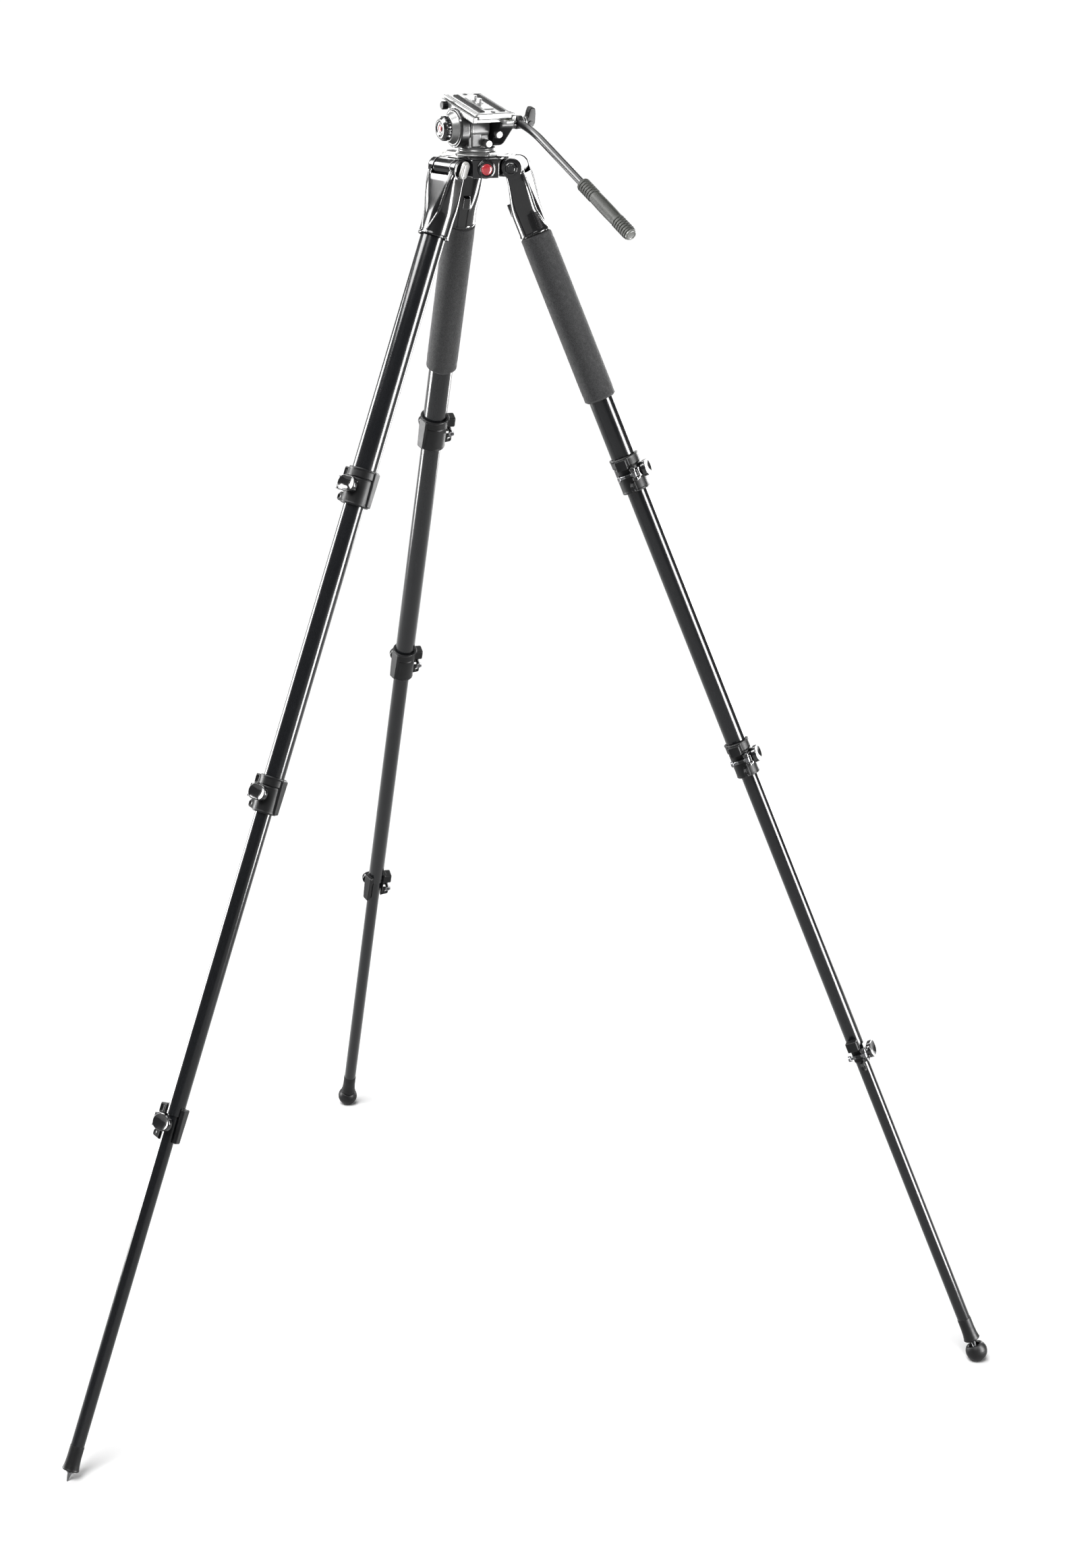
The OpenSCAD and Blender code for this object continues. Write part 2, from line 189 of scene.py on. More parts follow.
def skin(bm, rings, loop=False):
    """Joins rings of vertices with faces. A ring of one vertex closes to a point."""
    pairs = list(zip(rings, rings[1:]))
    if loop:
        pairs.append((rings[-1], rings[0]))
    for low, high in pairs:
        count = max(len(low), len(high))
        for i in range(count if len(low) + len(high) > 2 else 0):
            j = (i + 1) % count
            corners = [low[i % len(low)], low[j % len(low)], high[j % len(high)], high[i % len(high)]]
            face = list(dict.fromkeys(corners))
            if len(face) > 2:
                bm.faces.new(face)


def capped(bm, rings):
    """Joins rings of vertices and closes both ends."""
    skin(bm, rings)
    bm.faces.new(rings[0][::-1])
    bm.faces.new(rings[-1])


def revolve(bm, profile, steps=64, place=Matrix()):
    """The solid that a closed outline of (radius, height) makes round Z."""
    turns = [2 * math.pi * i / steps for i in range(steps)]
    rings = []
    for r, z in profile:
        if abs(r) < 1e-6:
            points = [(0, 0, z)]
        else:
            points = [(r * math.cos(t), r * math.sin(t), z) for t in turns]
        rings.append([bm.verts.new(place @ Vector(point)) for point in points])
    skin(bm, rings, loop=True)


def disc(bm, radius, low, high, edge=0.5, place=Matrix(), steps=48, bore=0.0):
    """A round block or ring about Z with rounded edges."""
    if bore:
        profile = rounded([(bore, low), (radius, low), (radius, high), (bore, high)], edge)
    else:
        profile = [(0, low)] + rounded([(0, low, 0), (radius, low), (radius, high), (0, high, 0)], edge)[1:]
    revolve(bm, profile, steps, place)


def prism(bm, outline, low, high, edge=0.6, place=Matrix(), steps=3):
    """A plate of this outline about Z with rounded edges."""
    bends = [math.pi / 2 * i / steps for i in range(steps + 1)]
    levels = [(edge * (1 - math.sin(b)), low + edge * (1 - math.cos(b))) for b in bends]
    levels += [(edge * (1 - math.sin(b)), high - edge * (1 - math.cos(b))) for b in reversed(bends)]
    rings = []
    for depth, z in levels:
        rings.append([bm.verts.new(place @ Vector((x, y, z))) for x, y in inset(outline, depth)])
    capped(bm, rings)


def brick(bm, low, high, edge=0.8, corner=1.5, place=Matrix()):
    """A box with rounded corners and edges."""
    (x0, y0, z0), (x1, y1, z1) = low, high
    prism(bm, rounded([(x0, y0), (x1, y0), (x1, y1), (x0, y1)], corner), z0, z1, edge, place)


def sweep(bm, path, radius, steps=20, cap=0.6):
    """A round rod along a path. radius is a number or a function of the share of the path."""
    path = [Vector(p) for p in path]
    width = radius if callable(radius) else (lambda share: radius)
    first = (path[1] - path[0]).normalized()
    side = first.cross(Vector((0, 0, 1)))
    side = side.normalized() if side.length > 1e-3 else Vector((1, 0, 0))
    rings = []
    last = len(path) - 1
    for i, p in enumerate(path):
        ahead = (path[min(i + 1, last)] - path[max(i - 1, 0)]).normalized()
        side = (side - ahead * side.dot(ahead)).normalized()
        over = ahead.cross(side)
        r = width(i / last)
        steps_in = [(0.0, 0.0)]
        if i in (0, last):
            bends = [math.pi / 2 * k / 3 for k in range(4)]
            end = 1 if i == last else -1
            steps_in = [(end * cap * (math.sin(b) - 1), cap * (1 - math.cos(b))) for b in bends][::end]
        for along, less in steps_in:
            centre, reach = p + ahead * along, r - less
            turns = [2 * math.pi * k / steps for k in range(steps)]
            points = [centre + (side * math.cos(t) + over * math.sin(t)) * reach for t in turns]
            rings.append([bm.verts.new(point) for point in points])
    capped(bm, rings)


def roughen(bm, depth, grain):
    """Pushes each vertex along its normal by fine noise. depth and grain are in millimetres."""
    bm.normal_update()
    moves = [v.normal * depth * noise.fractal(v.co / grain, 1.0, 2.0, 3) for v in bm.verts]
    for v, move in zip(bm.verts, moves):
        v.co += move


def linked(name, data):
    """A new object in the scene."""
    obj = bpy.data.objects.new(name, data)
    bpy.context.scene.collection.objects.link(obj)
    return obj


def scratch(name, bm):
    """A loose object for the modifiers below."""
    mesh = bpy.data.meshes.new(name)
    bm.to_mesh(mesh)
    return linked(name, mesh)


def settled(obj):
    """The object's mesh with its modifiers applied, as a bmesh. The object goes."""
    graph = bpy.context.evaluated_depsgraph_get()
    bm = bmesh.new()
    bm.from_object(obj, graph)
    mesh = obj.data
    bpy.data.objects.remove(obj)
    bpy.data.meshes.remove(mesh)
    return bm


def carved(bm, cutter):
    """bm less the cutter's solids."""
    obj = scratch("body", bm)
    tool = scratch("tool", cutter)
    cut = obj.modifiers.new("cut", "BOOLEAN")
    cut.object, cut.operation, cut.solver, cut.use_self = tool, "DIFFERENCE", "EXACT", True
    bpy.context.view_layer.update()
    out = settled(obj)
    settled(tool).free()
    bm.free()
    cutter.free()
    return out


def moulded(bm, grid, passes=2, keep=0.4):
    """The same solids as one skin with softened edges, as a casting has. grid is in millimetres."""
    obj = scratch("mould", bm)
    remesh = obj.modifiers.new("skin", "REMESH")
    remesh.mode, remesh.voxel_size = "VOXEL", grid
    soften = obj.modifiers.new("soften", "SMOOTH")
    soften.factor, soften.iterations = 0.5, passes
    thin = obj.modifiers.new("thin", "DECIMATE")
    thin.ratio = keep
    bpy.context.view_layer.update()
    bm.free()
    return settled(obj)


def cad_solid(node, place):
    """A CAD node's own solids, in a frame, in millimetres."""
    bm = bmesh.new()
    bm.from_mesh(NODES[node].data)
    bm.transform(Matrix.Scale(1 / MM, 4) @ place.inverted())
    bmesh.ops.remove_doubles(bm, verts=bm.verts, dist=0.002)
    return bm


SHARP_DEG = 32


def piece(name, bm, place, body, slot, look=None, nodes=()):
    """Makes the solids a piece that rides on a body. look names its material if it isn't its slot's."""
    bm.transform(Matrix.Scale(MM, 4))
    bmesh.ops.recalc_face_normals(bm, faces=bm.faces)
    mesh = bpy.data.meshes.new(name)
    bm.to_mesh(mesh)
    bm.free()
    mesh.polygons.foreach_set("use_smooth", [True] * len(mesh.polygons))
    mesh.set_sharp_from_angle(angle=math.radians(SHARP_DEG))
    mesh.materials.append(MATERIALS[look or slot])
    obj = linked(name, mesh)
    obj.matrix_world = place
    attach(obj, body)
    if nodes:
        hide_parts(*nodes)
    return obj


# ---- Materials ----


class Shader:
    """A node material under construction."""

    def __init__(self, name):
        self.material = bpy.data.materials.new(name)
        self.material.use_nodes = True
        self.tree = self.material.node_tree
        self.bsdf = self.tree.nodes["Principled BSDF"]
        self.place = self.add("ShaderNodeTexCoord").outputs["Object"]

    def add(self, kind, **settings):
        node = self.tree.nodes.new(kind)
        for key, value in settings.items():
            setattr(node, key, value)
        return node

    def link(self, source, target):
        self.tree.links.new(source, target)

    def noise(self, size, detail=3.0, stretch=(1, 1, 1), distortion=0.0):
        """Noise whose cells are about size metres, stretched along each axis."""
        mapping = self.add("ShaderNodeMapping")
        mapping.inputs["Scale"].default_value = [1 / (size * s) for s in stretch]
        self.link(self.place, mapping.inputs["Vector"])
        node = self.add("ShaderNodeTexNoise")
        node.inputs["Scale"].default_value = 1.0
        node.inputs["Detail"].default_value = detail
        node.inputs["Distortion"].default_value = distortion
        self.link(mapping.outputs["Vector"], node.inputs["Vector"])
        return node.outputs["Fac"]

    def spread(self, value, low, high, start=0.0, stop=1.0):
        """Maps start..stop to low..high."""
        node = self.add("ShaderNodeMapRange", clamp=True)
        for key, number in zip(("From Min", "From Max", "To Min", "To Max"), (start, stop, low, high)):
            node.inputs[key].default_value = number
        self.link(value, node.inputs["Value"])
        return node.outputs["Result"]

    def times(self, a, b):
        node = self.add("ShaderNodeMath", operation="MULTIPLY")
        self.link(a, node.inputs[0])
        self.link(b, node.inputs[1])
        return node.outputs["Value"]

    def mix(self, share, a, b):
        """Colour a where share is 0 and b where it is 1. Each is a colour or a socket."""
        node = self.add("ShaderNodeMix", data_type="RGBA")
        self.link(share, node.inputs["Factor"])
        for key, colour in (("A", a), ("B", b)):
            socket = [s for s in node.inputs if s.name == key and s.type == "RGBA"][0]
            if isinstance(colour, tuple):
                socket.default_value = (*colour, 1)
            else:
                self.link(colour, socket)
        return [s for s in node.outputs if s.type == "RGBA"][0]

    def edges(self, start=0.53, stop=0.60):
        """1 on worn convex edges, broken up by noise."""
        sharp = self.spread(self.add("ShaderNodeNewGeometry").outputs["Pointiness"], 0, 1, start, stop)
        return self.times(sharp, self.spread(self.noise(0.004, 4), 0, 1, 0.4, 0.62))

    def bump(self, heights, depth):
        """Surface relief; heights is a list of (value, share)."""
        total = None
        for value, share in heights:
            node = self.add("ShaderNodeMath", operation="MULTIPLY_ADD")
            self.link(value, node.inputs[0])
            node.inputs[1].default_value = share
            node.inputs[2].default_value = 0.0
            if total is not None:
                self.link(total, node.inputs[2])
            total = node.outputs["Value"]
        relief = self.add("ShaderNodeBump")
        relief.inputs["Distance"].default_value = depth
        relief.inputs["Strength"].default_value = 1.0
        self.link(total, relief.inputs["Height"])
        self.link(relief.outputs["Normal"], self.bsdf.inputs["Normal"])

    def set(self, **values):
        """Fixed values on the shader's own sockets, by name with _ for a space."""
        for key, value in values.items():
            self.bsdf.inputs[key.replace("_", " ")].default_value = value


def coated(name, dark, light, rough, worn=None, coat=0.0, coat_rough=0.1, metal=0.0, grain=0.0006,
           depth=0.00002, patch=0.02, stretch=(1, 1, 1), level=0.5, rough_spread=0.08):
    """Paint, anodising or moulded plastic: broad tone variation, fine grain, and worn edges."""
    s = Shader(name)
    broad = s.noise(patch, 4, stretch)
    fine = s.noise(grain, 2, stretch)
    colour = s.mix(s.spread(broad, 0, 1, 0.32, 0.68), dark, light)
    fleck = tuple(min(1.0, c * 1.7 + 0.004) for c in light)
    colour = s.mix(s.spread(fine, 0, 0.35, 0.35, 0.7), colour, fleck)
    smudge = s.noise(patch * 2.5, 5, distortion=0.6)
    roughness = s.spread(smudge, rough - rough_spread / 2, rough + rough_spread, 0.3, 0.75)
    if worn:
        edge = s.edges()
        colour = s.mix(edge, colour, worn)
    s.link(colour, s.bsdf.inputs["Base Color"])
    s.link(roughness, s.bsdf.inputs["Roughness"])
    s.bump([(fine, 1.0), (broad, 0.4)], depth)
    s.set(Metallic=metal, Coat_Weight=coat, Coat_Roughness=coat_rough, Specular_IOR_Level=level)
    return s.material


def foam(name, dark, light):
    """Closed-cell foam: matte, finely pored, slightly mottled."""
    s = Shader(name)
    pores = s.noise(0.0011, 4)
    cells = s.noise(0.004, 3, distortion=0.4)
    colour = s.mix(s.spread(pores, 0, 1, 0.38, 0.62), dark, light)
    s.link(colour, s.bsdf.inputs["Base Color"])
    s.link(s.spread(cells, 0.78, 0.96, 0.3, 0.7), s.bsdf.inputs["Roughness"])
    s.bump([(pores, 1.0), (cells, 0.6)], 0.00022)
    s.set(Sheen_Weight=0.15, Sheen_Roughness=0.5, Specular_IOR_Level=0.25)
    return s.material


COATINGS = {
    "tube_black": dict(dark=(0.0035, 0.0038, 0.0045), light=(0.0065, 0.0072, 0.0085), rough=0.18, coat=0.05,
        coat_rough=0.06, grain=0.0004, depth=0.000005, patch=0.03, stretch=(1, 1, 12), level=0.27,
        worn=(0.03, 0.031, 0.033), rough_spread=0.05),
    "casting_black": dict(dark=(0.0035, 0.0036, 0.004), light=(0.007, 0.0072, 0.0078), rough=0.16,
        coat=0.25, coat_rough=0.05, grain=0.0007, depth=0.000008, level=0.31, worn=(0.04, 0.04, 0.042),
        rough_spread=0.05),
    "plastic_black": dict(dark=(0.0028, 0.003, 0.0033), light=(0.0055, 0.0057, 0.0062), rough=0.42,
        grain=0.0005, depth=0.00002, level=0.15, worn=(0.025, 0.025, 0.027)),
    "lever_black": dict(dark=(0.0045, 0.0047, 0.005), light=(0.008, 0.0082, 0.009), rough=0.16, coat=0.35,
        coat_rough=0.06, grain=0.0006, depth=0.000006, level=0.3, worn=(0.04, 0.04, 0.042)),
    "rubber_black": dict(dark=(0.004, 0.004, 0.0043), light=(0.008, 0.008, 0.0084), rough=0.42,
        grain=0.0008, depth=0.00004, worn=(0.025, 0.024, 0.023), level=0.16),
    "button_grey": dict(dark=(0.26, 0.26, 0.245), light=(0.34, 0.34, 0.32), rough=0.32, coat=0.3,
        grain=0.0005, depth=0.00001, worn=(0.45, 0.45, 0.43)),
    "steel": dict(dark=(0.26, 0.262, 0.265), light=(0.36, 0.362, 0.365), rough=0.24, metal=1.0,
        grain=0.0003, depth=0.00001, worn=(0.55, 0.55, 0.56), patch=0.008),
    "dark_steel": dict(dark=(0.07, 0.071, 0.073), light=(0.12, 0.121, 0.124), rough=0.28, metal=1.0,
        grain=0.0003, depth=0.00001, worn=(0.3, 0.3, 0.31), patch=0.008),
    "cap_grey": dict(dark=(0.085, 0.088, 0.08), light=(0.13, 0.134, 0.122), rough=0.36, coat=0.2,
        grain=0.0005, depth=0.00001, worn=(0.25, 0.25, 0.24)),
    "head_grey": dict(dark=(0.075, 0.076, 0.077), light=(0.115, 0.116, 0.117), rough=0.34, coat=0.1,
        grain=0.0006, depth=0.00003, level=0.35, worn=(0.28, 0.28, 0.275), patch=0.015),
    "cradle_black": dict(dark=(0.004, 0.004, 0.0045), light=(0.009, 0.009, 0.0095), rough=0.3, coat=0.1,
        grain=0.0007, depth=0.00003, level=0.25, worn=(0.045, 0.045, 0.045)),
    "plate_grey": dict(dark=(0.13, 0.131, 0.13), light=(0.2, 0.202, 0.199), rough=0.28, metal=0.4, coat=0.1,
        grain=0.0005, depth=0.00002, worn=(0.6, 0.6, 0.59), stretch=(1, 5, 1)),
    "knob_silver": dict(dark=(0.24, 0.24, 0.24), light=(0.36, 0.36, 0.36), rough=0.36, metal=0.8,
        grain=0.0004, depth=0.00001, worn=(0.7, 0.7, 0.7), patch=0.006),
    "badge_red": dict(dark=(0.30, 0.008, 0.014), light=(0.44, 0.02, 0.03), rough=0.2, coat=0.6,
        coat_rough=0.06, grain=0.0006, depth=0.00001, patch=0.006),
    "level_vial": dict(dark=(0.035, 0.045, 0.008), light=(0.06, 0.075, 0.016), rough=0.12, coat=0.6,
        coat_rough=0.04, grain=0.0008, depth=0.000005, patch=0.004),
    "bar_black": dict(dark=(0.006, 0.006, 0.0065), light=(0.012, 0.012, 0.0125), rough=0.3, coat=0.1,
        grain=0.0005, depth=0.000015, stretch=(1, 1, 8), level=0.3, worn=(0.05, 0.05, 0.05)),
    "grip_olive": dict(dark=(0.012, 0.013, 0.010), light=(0.021, 0.0225, 0.018), rough=0.5, grain=0.0009,
        depth=0.00006, worn=(0.07, 0.07, 0.06), level=0.25),
}
MATERIALS = {name: coated(name, **look) for name, look in COATINGS.items()}
MATERIALS["foam_grey"] = foam("foam_grey", (0.009, 0.0092, 0.0098), (0.025, 0.0254, 0.027))
SLOTS = {part["node"]: part["material_slot"] for part in frame["record"]["subparts"]}
BODIES = {node: body for body, nodes in frame["record"]["behaviour"]["bodies"].items() for node in nodes}


def stand_in(name, bm, place, node, look=None):
    """A piece that takes a CAD node's place, body and slot."""
    return piece(name, bm, place, BODIES[node], SLOTS[node], look, (node,))


for node, obj in NODES.items():
    obj.data.materials.clear()
    obj.data.materials.append(MATERIALS[SLOTS[node]])


# ---- Legs ----

TUBE_R = (16.75, 14.0, 11.5, 9.25)
TUBE_WALL = 1.5
SECTIONS = ("upper_tube", "tube2", "tube3", "tube4")
BUSH_H = 22
CUP_H = 13
COLLAR_WALL = 3.2
EAR_OUT = 4.5
LEVER_PIN_X = 12
PAD = (32, 21)
CAP_H = 34
STUD_R = 3.0
STOP_PINS = (-8, 8)


def make_tube(leg, section):
    """A drawn tube with turned lips. Inner sections carry their guide bush at the top."""
    node = f"{SECTIONS[section]}_{leg}"
    place = tube_frame(leg)
    low, high = extent(node, place)
    radius, bore, lip = TUBE_R[section], TUBE_R[section] - TUBE_WALL, 0.35
    outline = [(bore, low.z, lip), (radius, low.z, lip)]
    if section:
        outline += [(radius, high.z - BUSH_H, 0), (high.x, high.z - BUSH_H, 0.5), (high.x, high.z, 0.5)]
    else:
        outline += [(radius, high.z, lip)]
    outline += [(bore, high.z, lip)]
    bm = bmesh.new()
    revolve(bm, rounded(outline, 0), 72)
    stand_in(f"{SECTIONS[section]}_skin_{leg}", bm, place, node)


def make_grip(leg):
    """Closed-cell foam sleeve with rolled ends, glued waists and a fine lumpy skin."""
    place = tube_frame(leg)
    low, high = extent("grip_" + leg, place)
    outer, bore, rows, roll_r = high.x - 0.25, TUBE_R[0] + 0.03, 90, 3.4
    profile = [(bore, low.z), (outer - roll_r, low.z)]
    for i in range(rows + 1):
        z = low.z + (high.z - low.z) * i / rows
        near = min(z - low.z, high.z - z)
        roll = roll_r * (1 - math.sqrt(max(0.0, 1 - (1 - min(near, 4.0) / 4.0) ** 2)))
        waist = 0.35 * math.exp(-(((near - 9) / 5) ** 2))
        profile.append((outer - roll - waist, z))
    profile += [(outer - roll_r, high.z), (bore, high.z)]
    bm = bmesh.new()
    revolve(bm, profile, 96)
    roughen(bm, 0.16, 3.0)
    stand_in(f"foam_grip_{leg}", bm, place, "grip_" + leg)


# Rows of height, then centre, half width out, half width along the pin and roundness
CAST = ((-2, 0, 12.6, 24.0, 6.0), (-8, 0, 13.4, 24.4, 5.5), (-20, -1.2, 14.6, 24.5, 4.6),
        (-32, -3.6, 16.4, 23.8, 3.6), (-44, -6.2, 18.4, 22.6, 2.9), (-54, -8.2, 19.8, 21.4, 2.4),
        (-62, -9.2, 20.5, 20.7, 2.05), (-92, -9.2, 20.5, 20.5, 2.0))
CAST_FOOT = CAST[-1][0]
SOCKET_X = CAST[-1][1]
EYE_R = 14.0


def cast_section(z):
    """The casting's row at this height, without the height."""
    for low, high in zip(CAST[1:], CAST):
        if z >= low[0]:
            t = min(1.0, (z - low[0]) / (high[0] - low[0]))
            return [a + (b - a) * t for a, b in zip(low[1:], high[1:])]
    return list(CAST[-1][1:])


def cast_face(y, z):
    """Where the casting's outer face is."""
    centre, out, along, power = cast_section(z)
    return centre + out * max(0.0, 1 - abs(y / along) ** power) ** (1 / power)


def ridge_y(z):
    """The ridges start at the eyes and meet low on the outer face."""
    return 22.6 * math.sqrt(max(0.0, (z - CAST_FOOT) / 88)) ** 1.15


def super_ring(bm, z, centre, out, along, power, steps=72):
    ring = []
    for i in range(steps):
        c, s = math.cos(2 * math.pi * i / steps), math.sin(2 * math.pi * i / steps)
        x = math.copysign(abs(c) ** (2 / power), c) * out
        y = math.copysign(abs(s) ** (2 / power), s) * along
        ring.append(bm.verts.new((centre + x, y, z)))
    return ring


def casting_shape():
    """The leg's fork: two eyes that flow into a tube socket, and a hollow between two ridges outside."""
    bm = bmesh.new()
    capped(bm, [super_ring(bm, z, *cast_section(z)) for z in range(-4, CAST_FOOT - 1, -4)])
    disc(bm, EYE_R, -25.0, 25.0, 1.4, ALONG_Y, 72)
    socket = at(SOCKET_X, 0, 0)
    disc(bm, 21.1, CAST_FOOT, CAST_FOOT + 3.5, 0.8, socket, 72)
    brick(bm, (-30.6, -4.5, -60), (-25, 4.5, -43), 0.8, 1.2)
    for side in (-1, 1):
        levels = [-10 - 4.0 * i for i in range(20)]
        path = [(cast_face(ridge_y(z), z) - 0.3, side * ridge_y(z), z) for z in levels]
        sweep(bm, path, lambda t: 1.7 - 0.6 * t, 14)
        outwards = ALONG_Y if side > 0 else ALONG_Y @ Matrix.Rotation(math.pi, 4, "X")
        disc(bm, 10.8, 23.8, 25.3, 0.5, outwards, bore=5.0)
    tool = bmesh.new()
    scoop = []
    rows = 18
    for i in range(rows):
        z = -12 - 4.3 * i
        depth, face = 6.4 * (1 - i / (rows - 1)) ** 0.8 + 0.5, cast_face(0, z)
        scoop.append(super_ring(tool, z, face + 4, depth + 4, max(0.6, ridge_y(z) - 1.3), 2.4, 40))
    capped(tool, scoop)
    disc(tool, 20.5, -15.6, 15.6, 0.3, ALONG_Y, 64)
    arch = [(-15.6, 16), (15.6, 16), (15.6, -26), (9, -42), (-9, -42), (-15.6, -26)]
    prism(tool, rounded(arch, 1.5), -40, 1.0, 0.3, FACING_X)
    disc(tool, 16.8, -94, -46, 0.05, socket, 72)
    disc(tool, 4.05, -30, 30, 0.05, ALONG_Y, 32)
    for z in STOP_PINS:
        disc(tool, 1.7, 17, 30, 0.05, at(0, 0, z) @ ALONG_Y, 20)
    return moulded(carved(bm, tool), 0.6, passes=3, keep=0.3)


def lock_shape(lock):
    """The collar: cup above, slit clamp band below, hinge ears, a flat boss and the lug with its hole."""
    upper, lower = TUBE_R[lock - 1], TUBE_R[lock]
    cup = upper + COLLAR_WALL
    ear = -cup - EAR_OUT
    half, step = COLLAR_H / 2, COLLAR_H / 2 - CUP_H
    bm = bmesh.new()
    outline = [(lower + 0.3, -half, 0.4), (cup - 1.6, -half, 0.6), (cup - 0.5, -half + 1.6, 0.5),
               (cup - 1.0, -half + 3.4, 0.4), (cup - 1.0, step - 1.6, 0.3), (cup - 1.9, step - 0.9, 0.2),
               (cup - 1.9, step - 0.2, 0.2), (cup, step + 0.4, 0.4), (cup, half - 3.0, 0.3),
               (cup + 0.7, half - 2.0, 0.5), (cup + 0.4, half, 0.7), (upper + 0.05, half, 0.6),
               (upper + 0.05, step, 0), (lower + 0.3, step, 0)]
    revolve(bm, rounded(outline, 0, 3), 72)
    brick(bm, (-8, -cup - 8.5, -10), (7, -cup + 4.5, 10), 1.2, 2.2)
    brick(bm, (-8.5, -cup - 9.5, 9.5), (8.2, -cup + 4.5, 23.5), 1.2, 2.5)
    lug = [(-cup + 3, -10.5, 1), (-cup - 5, -10.5, 3), (-cup - 9.5, -15, 3), (-cup - 9.5, -22, 3),
           (-cup + 3, -24.5, 1)]
    prism(bm, rounded(lug, 1), 1.2, 6.2, 0.8, FACING_X)
    boss = Matrix.Rotation(math.radians(112), 4, "Z") @ ALONG_X @ Matrix.Rotation(math.pi / 2, 4, "Z")
    flat = [(-8.0, half - 1.5), (-6.0, -half + 1.5), (6.0, -half + 1.5), (8.0, half - 1.5)]
    prism(bm, rounded(flat, 2.0), cup - 5.0, cup + 1.3, 0.9, boss)
    tool = bmesh.new()
    brick(tool, (-1.2, -cup - 20, -half - 2), (1.2, -lower + 1.5, 9.4), 0.2, 0.2)
    disc(tool, 2.75, -20, 20, 0.1, at(0, -cup - 6, -17.5) @ ALONG_X)
    disc(tool, 5.3, -12, 9.6, 0.1, at(LEVER_PIN_X, ear, 0))
    brick(tool, (6.2, -cup - 7.6, 12.0), (10, -cup - 2.0, 21.0), 0.3, 0.8)
    disc(tool, 2.6, -20, 20, 0.1, at(0, ear, 0) @ ALONG_X)
    disc(tool, lower + 0.3, -half - 3, step + 0.5, 0.05)
    disc(tool, upper + 0.05, step, half + 3, 0.05)
    return moulded(carved(bm, tool), 0.55)


def lock_steel(lock):
    """The clamp bolt with its nut, eye and the lever's hinge pin."""
    ear = -TUBE_R[lock - 1] - COLLAR_WALL - EAR_OUT
    bm = bmesh.new()
    disc(bm, 2.45, -12.0, 11.0, 0.3, at(0, ear, 0) @ ALONG_X, 24)
    hexagon = arc((0, 0), 4.6, 0, 300, 5)
    prism(bm, rounded(hexagon, 0.5, 2), -12.0, -8.2, 0.5, at(0, ear, 0) @ ALONG_X)
    disc(bm, 3.6, -3.5, 3.5, 0.5, at(LEVER_PIN_X, ear, 0), 32)
    disc(bm, 1.95, -9.5, 9.5, 0.5, at(LEVER_PIN_X, ear, 0), 24)
    return bm


def lever_shape(lock):
    """The lever: hinge knuckles, a band that wraps the collar and a dished oval thumb pad."""
    cup = TUBE_R[lock - 1] + COLLAR_WALL
    ear, inner = -cup - EAR_OUT, cup + 0.7
    bm = bmesh.new()
    for low, high in ((-9, -4), (4, 9)):
        disc(bm, 4.6, low, high, 0.7, at(LEVER_PIN_X, ear, 0), 36)
        brick(bm, (13.4, ear, low + 0.4), (16.4, -cup + 5, high - 0.4), 0.5, 0.6)
    start = math.degrees(math.asin((-cup + 3.5) / (inner + 1.4)))
    stop = math.degrees(math.asin(0.62 * cup / (inner + 1.4)))
    band = arc((0, 0), inner + 2.8, start, stop, 20) + arc((0, 0), inner, stop, start, 20)
    prism(bm, rounded(band, 0.6, 2), -7, 7, 0.9)
    brick(bm, (13.2, -cup - 1.0, -7.0), (16.8, -cup + 6.5, 7.0), 0.9, 1.0)
    pad_x, thick, dish, rows = inner + 0.3, 6.4, 2.3, 10
    levels = [(1.0, 0.0)]
    levels += [(1.0 - 0.06 * (1 - math.cos(b)), 5.2 + 1.2 * math.sin(b)) for b in (0.0, 0.5, 1.0, 1.5)]
    levels += [(0.9 * (1 - i / rows), thick - dish * (1 - (1 - i / rows) ** 2)) for i in range(rows)]
    rings = []
    for share, depth in levels:
        rings.append([bm.verts.new((pad_x + depth, y * share, z * share)) for y, z in slot_outline(*PAD)])
    rings.append([bm.verts.new((pad_x + thick - dish, 0, 0))])
    skin(bm, rings)
    bm.faces.new(rings[0])
    bmesh.ops.recalc_face_normals(bm, faces=bm.faces)
    tool = bmesh.new()
    disc(tool, 2.1, -20, 20, 0.05, at(LEVER_PIN_X, ear, 0), 32)
    disc(tool, 5.2, -4, 4, 0.05, at(LEVER_PIN_X, ear, 0), 32)
    disc(tool, inner, -20, 20, 0.05, steps=72)
    return moulded(carved(bm, tool), 0.45, keep=0.35)


